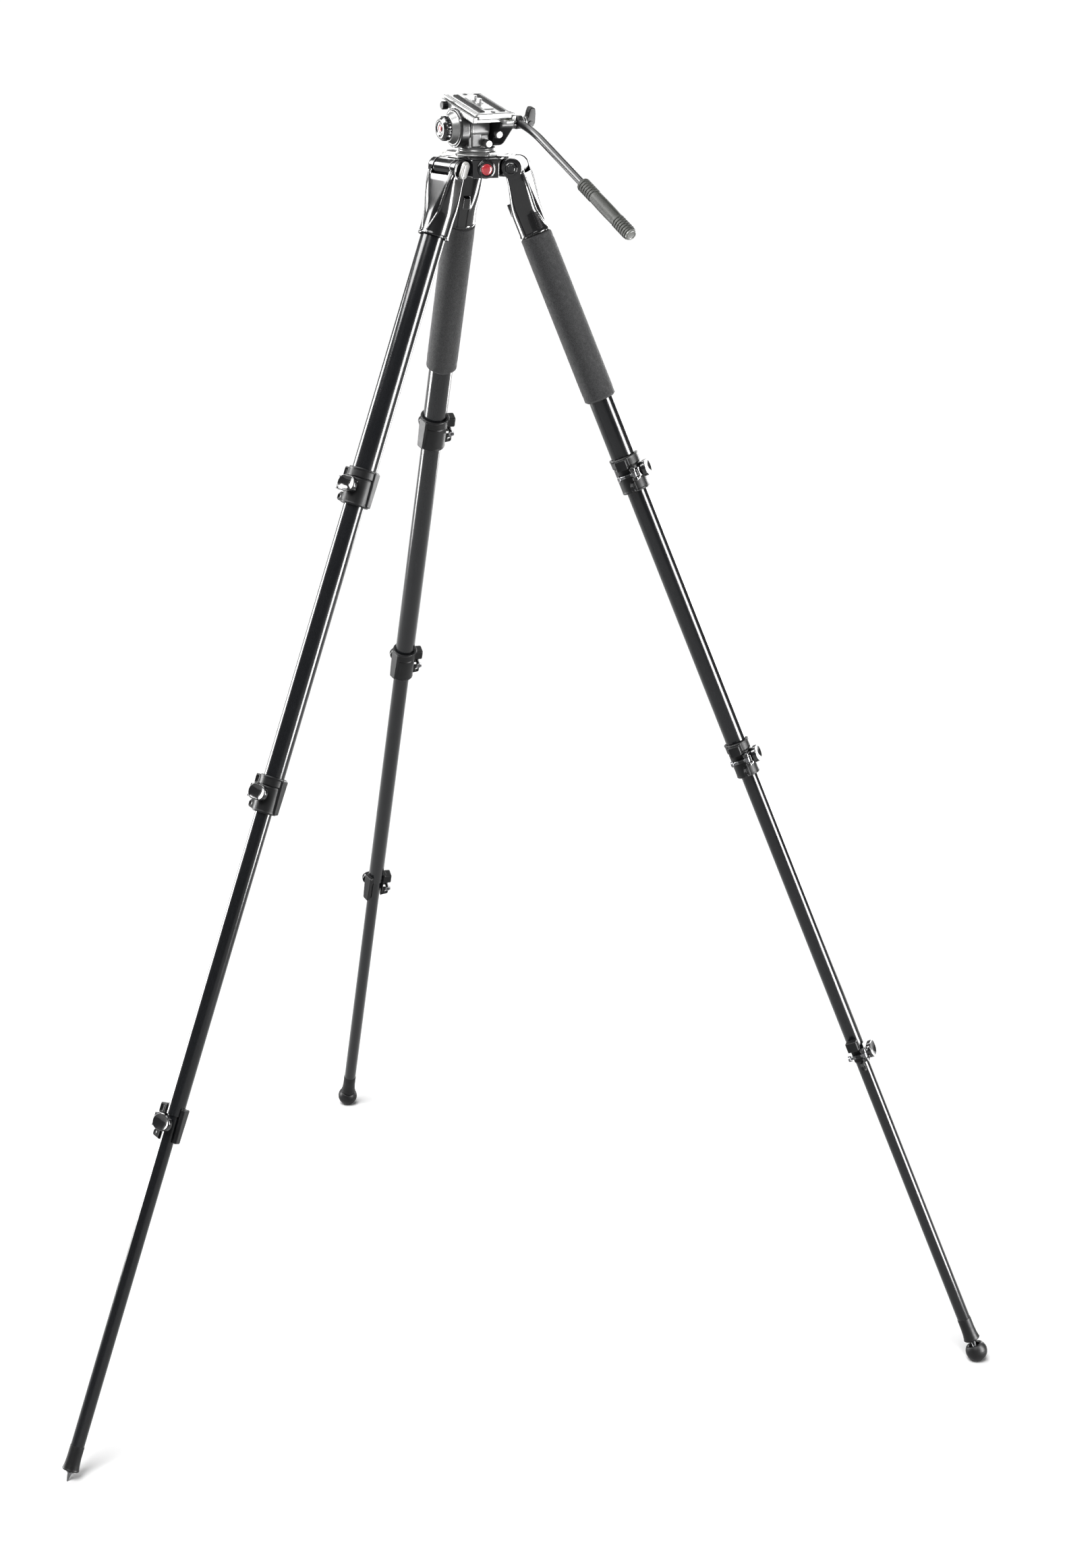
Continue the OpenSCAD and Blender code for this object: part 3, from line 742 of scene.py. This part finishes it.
def make_foot_end(leg):
    """Turned end cap with a sharp flange, and the steel stud or spike in it."""
    node = "foot_end_" + leg
    place = tube_frame(leg)
    low, high = extent(node, place)
    flange, sleeve, tube, bore = 11.8, TUBE_R[3] + 0.5, TUBE_R[3] + 0.03, STUD_R + 0.05
    base = high.z - CAP_H
    place = place @ shift(0, 0, base)
    cap = [(bore, 0, 0.2), (flange - 0.9, 0, 0.3), (flange, 1.5, 0.35), (flange - 0.6, 3, 0.5),
           (sleeve + 0.6, 9, 4), (sleeve, 18, 6), (sleeve, CAP_H, 0.3), (tube, CAP_H, 0.3), (tube, 4, 0),
           (bore, 4, 0)]
    bm = bmesh.new()
    revolve(bm, rounded(cap, 0, 4), 64)
    stand_in("foot_cap_" + leg, bm, place, node)
    reach = low.z - base
    bm = bmesh.new()
    if leg in BALL_LEGS:
        root = STUD_R - 0.4
        stud = [(0, reach), (root, reach), (STUD_R, reach + 0.8)]
        for i in range(int(8 - reach)):
            z = reach + 1.2 + i
            stud += [(STUD_R, z), (root, z + 0.5)]
        stud += [(STUD_R, 9.5), (0, 9.5)]
        revolve(bm, stud, 32)
    else:
        spike = [(0, reach), (0.6, reach + 0.1), (0.9, reach + 1.2), (2.7, -5.2), (STUD_R, -4.0),
                 (STUD_R, 8), (0, 8)]
        revolve(bm, spike, 32)
        disc(bm, 5.2, -3.2, -0.05, 0.5, steps=6)
    piece("foot_steel_" + leg, bm, place, BODIES[node], "steel", "dark_steel")


def make_ball_foot(leg):
    """Rubber ball with a dished, rimmed top and a moulding line round its waist."""
    node = "ball_foot_" + leg
    low, high = extent(node, tube_frame(leg))
    r = high.x
    place = tube_frame(leg) @ shift(0, 0, low.z + r)
    dish = 10.5
    edge = math.degrees(math.asin(dish / r))
    ball = arc((0, 0), r, -90, -2, 30) + [(r + 0.12, 0)] + arc((0, 0), r, 2, edge - 3, 18)
    rim = math.sqrt(r * r - dish * dish)
    bore = STUD_R + 0.05
    ball += [(rim - 0.2, dish - 0.1), (rim - 1.2, dish), (9.0, dish - 0.2), (8.1, dish - 1.2), (8.0, 4.6),
             (7.2, 4.0), (bore, 4.0), (bore, -6), (0, -6)]
    bm = bmesh.new()
    revolve(bm, ball, 72)
    roughen(bm, 0.04, 2.0)
    stand_in("rubber_ball_" + leg, bm, place, node)


def make_button(leg):
    """The oval button at the pivot's end, gently domed, on its two guide pins."""
    place = leg_frame(leg)
    node = "angle_stop_" + leg
    bm = bmesh.new()
    oval = slot_outline(24, 13)
    prism(bm, oval, 28.0, 32.4, 1.6, FACING_Y, steps=6)
    prism(bm, inset(oval, 2.2), 31.2, 33.0, 1.5, FACING_Y, steps=5)
    for z in STOP_PINS:
        disc(bm, 1.6, 20, 28.5, 0.2, at(0, 0, z) @ ALONG_Y, 24)
    stand_in("stop_button_" + leg, bm, place, node)


def shared(bm):
    """A maker of fresh copies of a shape, for pieces that repeat."""
    return lambda: bm.copy()


def make_legs():
    casting = shared(casting_shape())
    collars = {lock: shared(lock_shape(lock)) for lock in LOCKS}
    levers = {lock: shared(lever_shape(lock)) for lock in LOCKS}
    for leg in LEGS:
        stand_in("fork_casting_" + leg, casting(), leg_frame(leg), "leg_casting_" + leg)
        for section in range(4):
            make_tube(leg, section)
        for lock in LOCKS:
            place = lock_frame(leg, lock)
            node = f"lock{lock}_{leg}"
            stand_in(f"lock{lock}_collar_{leg}", collars[lock](), place, node)
            piece(f"lock{lock}_bolt_{leg}", lock_steel(lock), place, BODIES[node], "steel", "dark_steel")
            stand_in(f"lock{lock}_lever_{leg}", levers[lock](), place, f"lever{lock}_{leg}")
        make_foot_end(leg)
        make_button(leg)
    for leg in BALL_LEGS:
        make_grip(leg)
        make_ball_foot(leg)


make_legs()


# ---- Spider ----

PIN_R = 54.0
SPIDER_MID = -14.0
AZIMUTHS = (210, 330, 90)


def turned(azimuth):
    """Round the tripod's axis, in the spider's frame."""
    return Matrix.Rotation(math.radians(azimuth), 4, "Z")


def make_spider():
    """The hub with its knuckles, a curved wall round each fork eye and a rimmed boss in front."""
    bm = cad_solid("spider", SPIDER)
    for azimuth in AZIMUTHS:
        place = turned(azimuth) @ at(PIN_R, 0, SPIDER_MID)
        wall = rounded(arc((0, 0), 20.6, 140, 212, 16) + arc((0, 0), 17.2, 212, 130, 18), 0.5, 2)
        for side in (-1, 1):
            low, high = sorted((side * -15.0, side * -30.5))
            prism(bm, wall, low, high, 1.1, place @ UPRIGHT_Y)
        brick(bm, (26, -11, -2.6), (46, 11, 0.0), 0.8, 4.0, turned(azimuth))
    front = turned(270) @ at(0, 0, SPIDER_MID)
    disc(bm, 11.4, 46.5, 50.2, 1.0, front @ ALONG_X, 64, bore=7.6)
    disc(bm, 13.0, 40.0, 46.0, 1.6, front @ ALONG_X, 64)
    disc(bm, 31.5, -1.2, 0.0, 0.5, steps=96, bore=29.6)
    tool = bmesh.new()
    disc(tool, 7.6, 49.0, 56.0, 0.05, front @ ALONG_X, 64)
    stand_in("spider_casting", moulded(carved(bm, tool), 0.75, passes=3), SPIDER, "spider")
    bm = bmesh.new()
    cap = [(0, 49.0), (7.3, 49.0), (7.4, 49.4), (7.4, 50.6), (6.9, 51.2), (6.2, 51.15), (5.9, 50.9),
           (5.6, 51.05), (3.4, 51.4), (0, 51.5)]
    revolve(bm, cap, 64, front @ ALONG_X)
    stand_in("round_badge", bm, SPIDER, "badge")
    bm = bmesh.new()
    for leg in LEGS:
        pivot = SPIDER.inverted() @ leg_frame(leg)
        pivot.translation /= MM
        bolt = [(0, -28.3), (2.3, -28.3), (3.4, -28.4, 0.3), (4.6, -28.4, 0.3), (5.0, -27.9, 0.3),
                (7.0, -28.2, 0.5), (8.5, -27.4, 0.8), (8.5, -25.5, 0.3), (4.0, -25.5, 0.3), (4.0, 24.0, 0.4),
                (0, 24.0, 0)]
        revolve(bm, rounded(bolt, 0, 3), 48, pivot @ ALONG_Y)
    stand_in("pivot_bolts", bm, SPIDER, "leg_pivot_bolts", "casting_black")


# ---- Fluid head ----


def fluted(bm, flutes, depth, outer, place):
    """Presses flutes into the rim of a knob that stands about place's Z axis."""
    back = place.inverted()
    for v in bm.verts:
        p = back @ v.co
        r = math.hypot(p.x, p.y)
        if r > outer:
            wave = 0.5 + 0.5 * math.cos(flutes * math.atan2(p.y, p.x))
            p.x *= 1 - depth * wave / r
            p.y *= 1 - depth * wave / r
            v.co = place @ p


def make_base_and_column():
    """The turned base, the panning column with its axle housing, its skirt and the pan lock."""
    bm = cad_solid("head_base", HEAD)
    disc(bm, 28.6, 1.2, 2.0, 0.3, steps=96, bore=20)
    stand_in("base_cone", moulded(bm, 0.6), HEAD, "head_base", "plate_grey")
    bm = cad_solid("pan_body", HEAD)
    brick(bm, (-15.5, 11.5, -17.2), (-1.5, 30.0, 15.9), 0.7, 1.6, UPRIGHT_Y)
    disc(bm, 24.6, 7.6, 9.9, 0.7, steps=96, bore=18)
    disc(bm, 19.2, -19.0, -16.5, 0.8, at(0, 0, TILT_HEIGHT) @ ALONG_X, 72, bore=14)
    tool = bmesh.new()
    for z in (14.2, 27.0):
        brick(tool, (-21, -16, z), (-14.8, 16, z + 0.9), 0.2, 0.3)
    for x in (-12.6, -4.4):
        for z in (14.5, 27.0):
            disc(tool, 1.5, -18, -16.6, 0.1, at(x, 0, z) @ ALONG_Y, 24)
    stand_in("pan_column", moulded(carved(bm, tool), 0.6), HEAD, "pan_body")
    bm = bmesh.new()
    flange = [(17, 5.35), (25.3, 5.35, 0.4), (25.3, 6.6, 0.5), (23.6, 9.7, 0.7), (17, 9.7)]
    revolve(bm, rounded(flange, 0.2, 4), 96)
    piece("pan_flange", bm, HEAD, "pan", "plate_grey")
    bm = bmesh.new()
    place = at(5, 0, 16) @ ALONG_Y
    disc(bm, 3.0, -15.4, -10, 0.2, place, 32)
    knob = [(0, -26, 0), (4.2, -26, 0.8), (5.4, -24.8, 0.5), (5.4, -18.0, 0.5), (4.3, -17.0, 0.4),
            (4.3, -15.4, 0.3), (0, -15.4, 0)]
    revolve(bm, rounded(knob, 0, 3), 96, place)
    fluted(bm, 20, 0.45, 5.0, place)
    stand_in("pan_lock_knob", bm, HEAD, "pan_lock")


BAR_HINGE = at(0, -33, 14) @ ALONG_X
TILT_LOCK = at(17, 0, -2) @ ALONG_Y
PLATE_LOCK = at(0, 30, 22) @ ALONG_X
LEVEL = at(18, -50.5, 0)
COVER_R = 26
ROSETTE_R = 9
DECK_SCREWS_Y = (-30, -10, 10)


def make_cradle():
    """Black side covers, the grey deck with its rails, and the grey cone behind the drag dial."""
    bm = bmesh.new()
    disc(bm, COVER_R, -34, -22.4, 1.6, ALONG_X, 96)
    disc(bm, COVER_R, -35.6, -31.0, 1.4, ALONG_X, 96, bore=22.4)
    teardrop = arc((0, 0), COVER_R, -141.3, 95.3, 48) + arc((-33, 14), ROSETTE_R, 95.3, 218.7, 20)
    prism(bm, teardrop, 12.4, 34.0, 2.6, FACING_X, steps=6)
    prism(bm, inset(teardrop, 4.5), 30.0, 35.2, 2.4, FACING_X, steps=5)
    disc(bm, 8.4, 30, 37.8, 0.7, BAR_HINGE, 48)
    brick(bm, (-30.6, -45.5, 19.8), (30.6, 45.5, 23.6), 0.4, 1.5)
    tool = bmesh.new()
    disc(tool, 8.05, -40, 30.5, 0.05, ALONG_X, 64)
    disc(tool, 4.05, 20, 45, 0.05, BAR_HINGE, 48)
    disc(tool, 2.55, -40, -15, 0.05, TILT_LOCK, 32)
    disc(tool, 5.6, -45, -26, 0.3, TILT_LOCK, 48)
    disc(tool, 2.55, -32, -24, 0.05, PLATE_LOCK, 32)
    brick(tool, (-25, -49, 23.9), (25, 49, 30), 0.1, 0.1)
    stand_in("side_covers", moulded(carved(bm, tool), 0.6), CRADLE, "tilt_cradle")

    bm = bmesh.new()
    cone = [(4.5, -45, 0.2), (17.0, -45, 0.6), (17.6, -44.2, 0.5), (21.0, -36.6, 1.0), (22.3, -36.4, 0.5),
            (22.3, -34.1, 0.2), (4.5, -34.1, 0.2)]
    revolve(bm, rounded(cone, 0, 4), 96, ALONG_X)
    disc(bm, 22.35, -37.0, -35.6, 0.35, ALONG_X, 96, bore=21.2)
    piece("cover_cone", bm, CRADLE, "cradle", "plate_grey")

    bm = bmesh.new()
    for x0, x1 in ((-32.2, -25.1), (25.1, 32.2)):
        outline = [(x0, 19.4), (x1, 19.4), (x1, 27.4), (x0, 27.4)]
        prism(bm, rounded(outline, 1.1, 4), -47, 47, 1.0, UPRIGHT_Y)
    brick(bm, (-25.6, -46.4, 19.4), (25.6, -41.0, 23.9), 0.6, 1.0)
    brick(bm, (9.5, -56.5, 19.4), (26.5, -41.0, 24.0), 1.0, 3.5)
    brick(bm, (-25.6, 41.0, 19.4), (25.6, 46.4, 23.9), 0.6, 1.0)
    tool = bmesh.new()
    disc(tool, 4.55, 21, 26, 0.05, LEVEL, 48)
    disc(tool, 2.7, -40, -20, 0.05, PLATE_LOCK, 32)
    for y in DECK_SCREWS_Y:
        disc(tool, 1.9, -33, -31.4, 0.3, at(0, y, 23.4) @ ALONG_X, 24)
    rails = moulded(carved(bm, tool), 0.5)
    piece("deck_rails", rails, CRADLE, "cradle", "head_grey", "plate_grey")

    bm = bmesh.new()
    for angle in map(math.radians, (20, 140, 250)):
        place = at(0, 24.2 * math.cos(angle), 24.2 * math.sin(angle)) @ ALONG_X
        disc(bm, 1.5, -36.3, -34.5, 0.4, place, 24)
    for y in DECK_SCREWS_Y:
        disc(bm, 1.7, -32.2, -31.6, 0.2, at(0, y, 23.4) @ ALONG_X, 24)
    piece("cover_screws", bm, CRADLE, "cradle", "steel")

    bm = bmesh.new()
    vial = [(0, 21, 0), (4.45, 21, 0), (4.45, 23.4, 0.3), (3.6, 23.6, 0.3), (0, 23.75, 0)]
    revolve(bm, rounded(vial, 0, 3), 48, LEVEL)
    stand_in("level_vial", bm, CRADLE, "bubble_level")
    bm = bmesh.new()
    disc(bm, 1.5, 23.5, 23.85, 0.1, at(18.6, -50.0, 0), 24)
    disc(bm, 3.0, 23.45, 23.8, 0.1, LEVEL, 32, bore=2.6)
    piece("level_marks", bm, CRADLE, "cradle", "rubber_black")


def make_head_knobs():
    """The drag dial with its red centre, the tilt lock and the plate lock."""
    bm = bmesh.new()
    dial = [(4.1, -45.6, 0.2), (15.6, -45.6, 0.6), (16.5, -46.6, 0.6), (16.5, -51.2, 0.8),
            (15.6, -52.6, 0.8), (12.6, -55.8, 1.2), (10.4, -55.9, 0.8), (8.6, -54.4, 0.8), (4.6, -54.3, 0.3),
            (4.4, -55.0, 0.3), (0, -55.0, 0), (0, -49.6, 0), (4.1, -49.6, 0.2)]
    revolve(bm, rounded(dial, 0, 4), 160, ALONG_X)
    fluted(bm, 20, 0.9, 15.6, ALONG_X)
    stand_in("drag_dial", bm, CRADLE, "tilt_drag_dial", "lever_black")
    bm = bmesh.new()
    revolve(bm, [(0, -54.9), (4.2, -54.9), (4.2, -55.4), (3.6, -55.8), (0, -56.0)], 48, ALONG_X)
    piece("dial_mark", bm, CRADLE, "drag_dial", "badge_red")

    bm = bmesh.new()
    knob = [(0, -33.5, 0), (4.2, -33.5, 0.9), (5.2, -32.4, 0.4), (5.2, -26.5, 0.4), (2.5, -26.5, 0.1),
            (2.5, -16.0, 0.3), (0, -16.0, 0)]
    revolve(bm, rounded(knob, 0, 3), 96, TILT_LOCK)
    fluted(bm, 18, 0.4, 4.8, TILT_LOCK)
    stand_in("tilt_lock_knob", bm, CRADLE, "tilt_lock")

    bm = bmesh.new()
    knob = [(0, -40, 0), (4.4, -40, 1.0), (5.5, -38.8, 0.6), (5.5, -31.5, 0.6), (2.5, -31.5, 0.1),
            (2.5, -26, 0.3), (0, -26, 0)]
    revolve(bm, rounded(knob, 0, 3), 96, PLATE_LOCK)
    fluted(bm, 16, 0.5, 5.0, PLATE_LOCK)
    stand_in("plate_lock_knob", bm, CRADLE, "plate_lock_lever")


PLUGS_Y = (-40.5, 41.0)
RIBS = 27


def make_plate():
    """The sliding plate: a bevelled slab on its tongue, a raised slotted island and rubber strips."""
    bm = bmesh.new()
    brick(bm, (-24.6, -48, 24.4), (24.6, 48, 28.6), 0.4, 0.8)
    brick(bm, (-29, -48, 27.9), (29, 48, 32.0), 1.0, 2.5)
    brick(bm, (-8.6, -29, 31.2), (8.6, 29, 32.8), 0.6, 4.5)
    for x in (-25.6, 21.6):
        brick(bm, (x, -44, 31.4), (x + 4.0, 44, 32.5), 0.5, 1.4)
    tool = bmesh.new()
    stadium = [(y, x) for x, y in slot_outline(50.4, 6.4)]
    prism(tool, stadium, 20, 40, 0.05)
    brick(tool, (-7, -27, 20), (7, 27, 29), 0.1, 0.1)
    for y in PLUGS_Y:
        disc(tool, 3.1, 31.3, 34, 0.1, at(0, y, 0), 32)
    slab = moulded(carved(bm, tool), 0.5)
    stand_in("plate_slab", slab, CRADLE, "sliding_plate")
    bm = bmesh.new()
    for x in (-19.6, 11.0):
        brick(bm, (x, -39.5, 31.0), (x + 8.6, 39.5, 32.9), 0.5, 2.2)
        for i in range(RIBS):
            y = -37.6 + 75.2 * i / (RIBS - 1)
            brick(bm, (x + 0.8, y - 0.75, 32.4), (x + 7.8, y + 0.75, 33.2), 0.35, 0.5)
    for y in PLUGS_Y:
        disc(bm, 3.0, 31.2, 32.4, 0.4, at(0, y, 0), 32)
    piece("plate_rubber", bm, CRADLE, "plate", "rubber_black")
    bm = bmesh.new()
    for y in (0, 14):
        screw = [(0, 25, 0), (6.0, 25, 0.4), (6.2, 28.4, 0.3), (2.6, 28.8, 0.2), (2.6, 32.5, 0.1)]
        for i in range(6):
            z = 32.5 + i
            screw += [(3.17, z, 0), (2.75, z + 0.5, 0)]
        screw += [(3.0, 38.0, 0), (2.5, 38.5, 0), (0, 38.5, 0)]
        revolve(bm, rounded(screw, 0, 2), 48, at(0, y, 0))
        disc(bm, 5.6, 32.7, 33.5, 0.3, at(0, y, 0), 36, bore=3.3)
    stand_in("camera_screws", bm, CRADLE, "plate_screws", "knob_silver")


BAR_X = 43.2
BEND = Vector((BAR_X, -78, 14))
BAR_R = 5.2
RUN = 236
GRIP_START = 119


def bar_direction():
    """Down the sloping run, in the cradle's frame."""
    out, fall = math.radians(8), math.radians(17.5)
    return Vector((math.sin(out) * math.cos(fall), -math.cos(out) * math.cos(fall), -math.sin(fall)))


def make_pan_bar():
    """Rosette disc, a rod bent in one smooth curve, its ribbed grip, and the clamp with its paddle."""
    way = bar_direction()
    bm = bmesh.new()
    disc(bm, ROSETTE_R, 38.2, 47.4, 0.8, BAR_HINGE, 64)
    disc(bm, ROSETTE_R + 0.25, 40.2, 41.2, 0.3, BAR_HINGE, 64, bore=7)
    start, before, after = Vector((BAR_X, -39, 14)), BEND + Vector((0, 22, 0)), BEND + way * 22
    path = [start.lerp(before, i / 4) for i in range(4)]
    for i in range(13):
        t = i / 12
        path.append(before * (1 - t) ** 2 + BEND * 2 * t * (1 - t) + after * t * t)
    path += [after.lerp(BEND + way * (RUN - 8), i / 20) for i in range(1, 21)]
    sweep(bm, path, BAR_R, 32)
    tool = bmesh.new()
    disc(tool, 4.05, 30, 50, 0.05, BAR_HINGE, 48)
    stand_in("bent_bar", carved(bm, tool), CRADLE, "pan_bar")

    turn = way.to_track_quat("Z", "Y").to_matrix().to_4x4()
    run = Matrix.Translation(BEND) @ turn
    rib_gap, ribs = 4.6, 6
    profile = [(BAR_R + 0.05, GRIP_START), (7.6, GRIP_START), (8.9, GRIP_START + 1.4)]
    last = RUN - 3.2
    for i in range(ribs):
        z = GRIP_START + 3 + i * rib_gap
        profile += [(9.5, z), (9.5, z + 2.6), (8.7, z + 3.2), (8.7, z + 4.0)]
    profile += [(9.0, GRIP_START + 34), (9.3, GRIP_START + 50), (9.3, last - 50), (9.0, last - 34)]
    for i in range(ribs):
        z = last - 30 + i * rib_gap
        profile += [(8.7, z - 0.6), (9.5, z), (9.5, z + 2.6), (8.7, z + 3.2)]
    profile += [(9.0, last - 1.2), (8.2, last), (BAR_R + 0.05, last)]
    bm = bmesh.new()
    revolve(bm, rounded([(r, z, 0.35) for r, z in profile], 0, 2), 64, run)
    stand_in("ribbed_grip", bm, CRADLE, "pan_bar_grip")
    bm = bmesh.new()
    cap = [(0, last - 2, 0), (7.6, last - 2, 0.2), (7.9, last + 0.1, 0.5), (7.9, RUN - 1.6, 0.9),
           (6.6, RUN, 0.6), (5.2, RUN, 0.4), (4.8, RUN - 0.7, 0.4), (0, RUN - 0.7, 0)]
    revolve(bm, rounded(cap, 0, 3), 64, run)
    piece("grip_end_cap", bm, CRADLE, "pan_bar", "grip_olive", "cap_grey")

    bm = bmesh.new()
    paddle = [(53.5, -6.3, 1.5), (64.5, -6.3, 4), (67.0, -1.0, 3), (66.4, 12.0, 6), (65.2, 18.5, 2.6),
              (62.0, 20.0, 2.6), (57.4, 20.0, 2.6), (55.4, 14.0, 6), (54.6, 7.4, 2), (52.8, 6.5, 1.5)]
    prism(bm, rounded(paddle, 1), -5, 5, 1.8, at(0, -33, 14) @ UPRIGHT_Y, steps=5)
    disc(bm, 6.5, 47.9, 55, 0.5, BAR_HINGE, 48)
    disc(bm, 4.0, 24, 50, 0.3, BAR_HINGE, 40)
    disc(bm, 4.4, -6.2, -2.8, 0.5, at(60, -33, 12) @ ALONG_Y, 32)
    stand_in("clamp_paddle", bm, CRADLE, "pan_bar_clamp")
    bm = bmesh.new()
    for low, high in ((48.6, 50.2), (52.2, 53.4)):
        disc(bm, 6.85, low, high, 0.3, BAR_HINGE, 48, bore=6.2)
    piece("clamp_rings", bm, CRADLE, "bar_clamp", "knob_silver")


make_spider()
make_base_and_column()
make_cradle()
make_head_knobs()
make_plate()
make_pan_bar()


# ---- Stage, light and camera ----

FLOOR_HALF = 60.0
LOOK_FROM = (-1.2558, -4.6480, 2.3088)
LOOK_YAW = 16.79
LOOK_PITCH = 17.99
LOOK_ROLL = 0.786
LENS = 79.2


def make_floor():
    """A plain pale floor, far wider than the picture."""
    mesh = bpy.data.meshes.new("floor")
    bm = bmesh.new()
    bmesh.ops.create_grid(bm, x_segments=4, y_segments=4, size=FLOOR_HALF)
    bm.to_mesh(mesh)
    bm.free()
    s = Shader("floor_pale")
    tone = s.mix(s.spread(s.noise(0.4, 3), 0, 1, 0.35, 0.65), (0.885, 0.885, 0.885), (0.9, 0.9, 0.9))
    s.link(tone, s.bsdf.inputs["Base Color"])
    s.set(Roughness=0.9, Specular_IOR_Level=0.0)
    mesh.materials.append(s.material)
    linked("floor", mesh)


def softbox(name, position, target, size, power, fills=False):
    """An area light that faces its target. One that does not fill is seen in shiny surfaces only."""
    light = bpy.data.lights.new(name, "AREA")
    light.shape = "RECTANGLE"
    light.size, light.size_y = size
    light.energy = power
    obj = linked(name, light)
    obj.location = position
    obj.rotation_euler = (Vector(target) - Vector(position)).to_track_quat("-Z", "Y").to_euler()
    obj.visible_diffuse = fills


def make_light():
    """An even sky, a wide soft sun from the front left, and strips that draw highlights down the tubes."""
    world = bpy.data.worlds.new("studio")
    bpy.context.scene.world = world
    world.use_nodes = True
    sky = world.node_tree.nodes["Background"]
    sky.inputs["Color"].default_value = (1, 1, 1, 1)
    sky.inputs["Strength"].default_value = 0.22
    sun = bpy.data.lights.new("key", "SUN")
    sun.energy = 3.6
    sun.angle = math.radians(35)
    linked("key", sun).rotation_euler = Vector((0.45, 0.55, -1.0)).to_track_quat("-Z", "Y").to_euler()
    softbox("strip_right", (1.75, -1.55, 1.0), (0, -0.3, 0.9), (0.7, 2.2), 300)
    softbox("strip_back_left", (-1.9, 1.3, 1.0), (0, -0.2, 0.9), (0.8, 2.2), 170)
    softbox("strip_back_right", (2.0, 1.2, 1.2), (0, -0.2, 0.9), (0.7, 2.2), 75)
    softbox("high_left", (-1.5, 0.1, 2.8), (-0.2, -0.3, 1.1), (1.2, 1.2), 130)
    softbox("top", (-0.3, 0.5, 3.6), (0, -0.2, 1.4), (1.4, 1.4), 40, fills=True)
    softbox("backdrop", (0.95, 3.1, 2.7), (0, -0.2, 1.6), (5.0, 1.6), 110)


def make_camera():
    """In front of the tripod and above its head, turned right and down, rolled a little."""
    yaw, pitch, roll = map(math.radians, (LOOK_YAW, LOOK_PITCH, LOOK_ROLL))
    level = math.cos(pitch)
    ahead = Vector((math.sin(yaw) * level, math.cos(yaw) * level, -math.sin(pitch)))
    right = Vector((math.cos(yaw), -math.sin(yaw), 0))
    up = right.cross(ahead)
    camera = bpy.data.cameras.new("camera")
    camera.lens = LENS
    camera.sensor_width = 36.0
    camera.clip_end = 200
    obj = linked("camera", camera)
    tilted_right = math.cos(roll) * right + math.sin(roll) * up
    tilted_up = math.cos(roll) * up - math.sin(roll) * right
    obj.matrix_world = rigid(tilted_right, tilted_up, -ahead, Vector(LOOK_FROM))
    bpy.context.scene.camera = obj


make_floor()
make_light()
make_camera()
bpy.context.scene.view_settings.view_transform = "Standard"
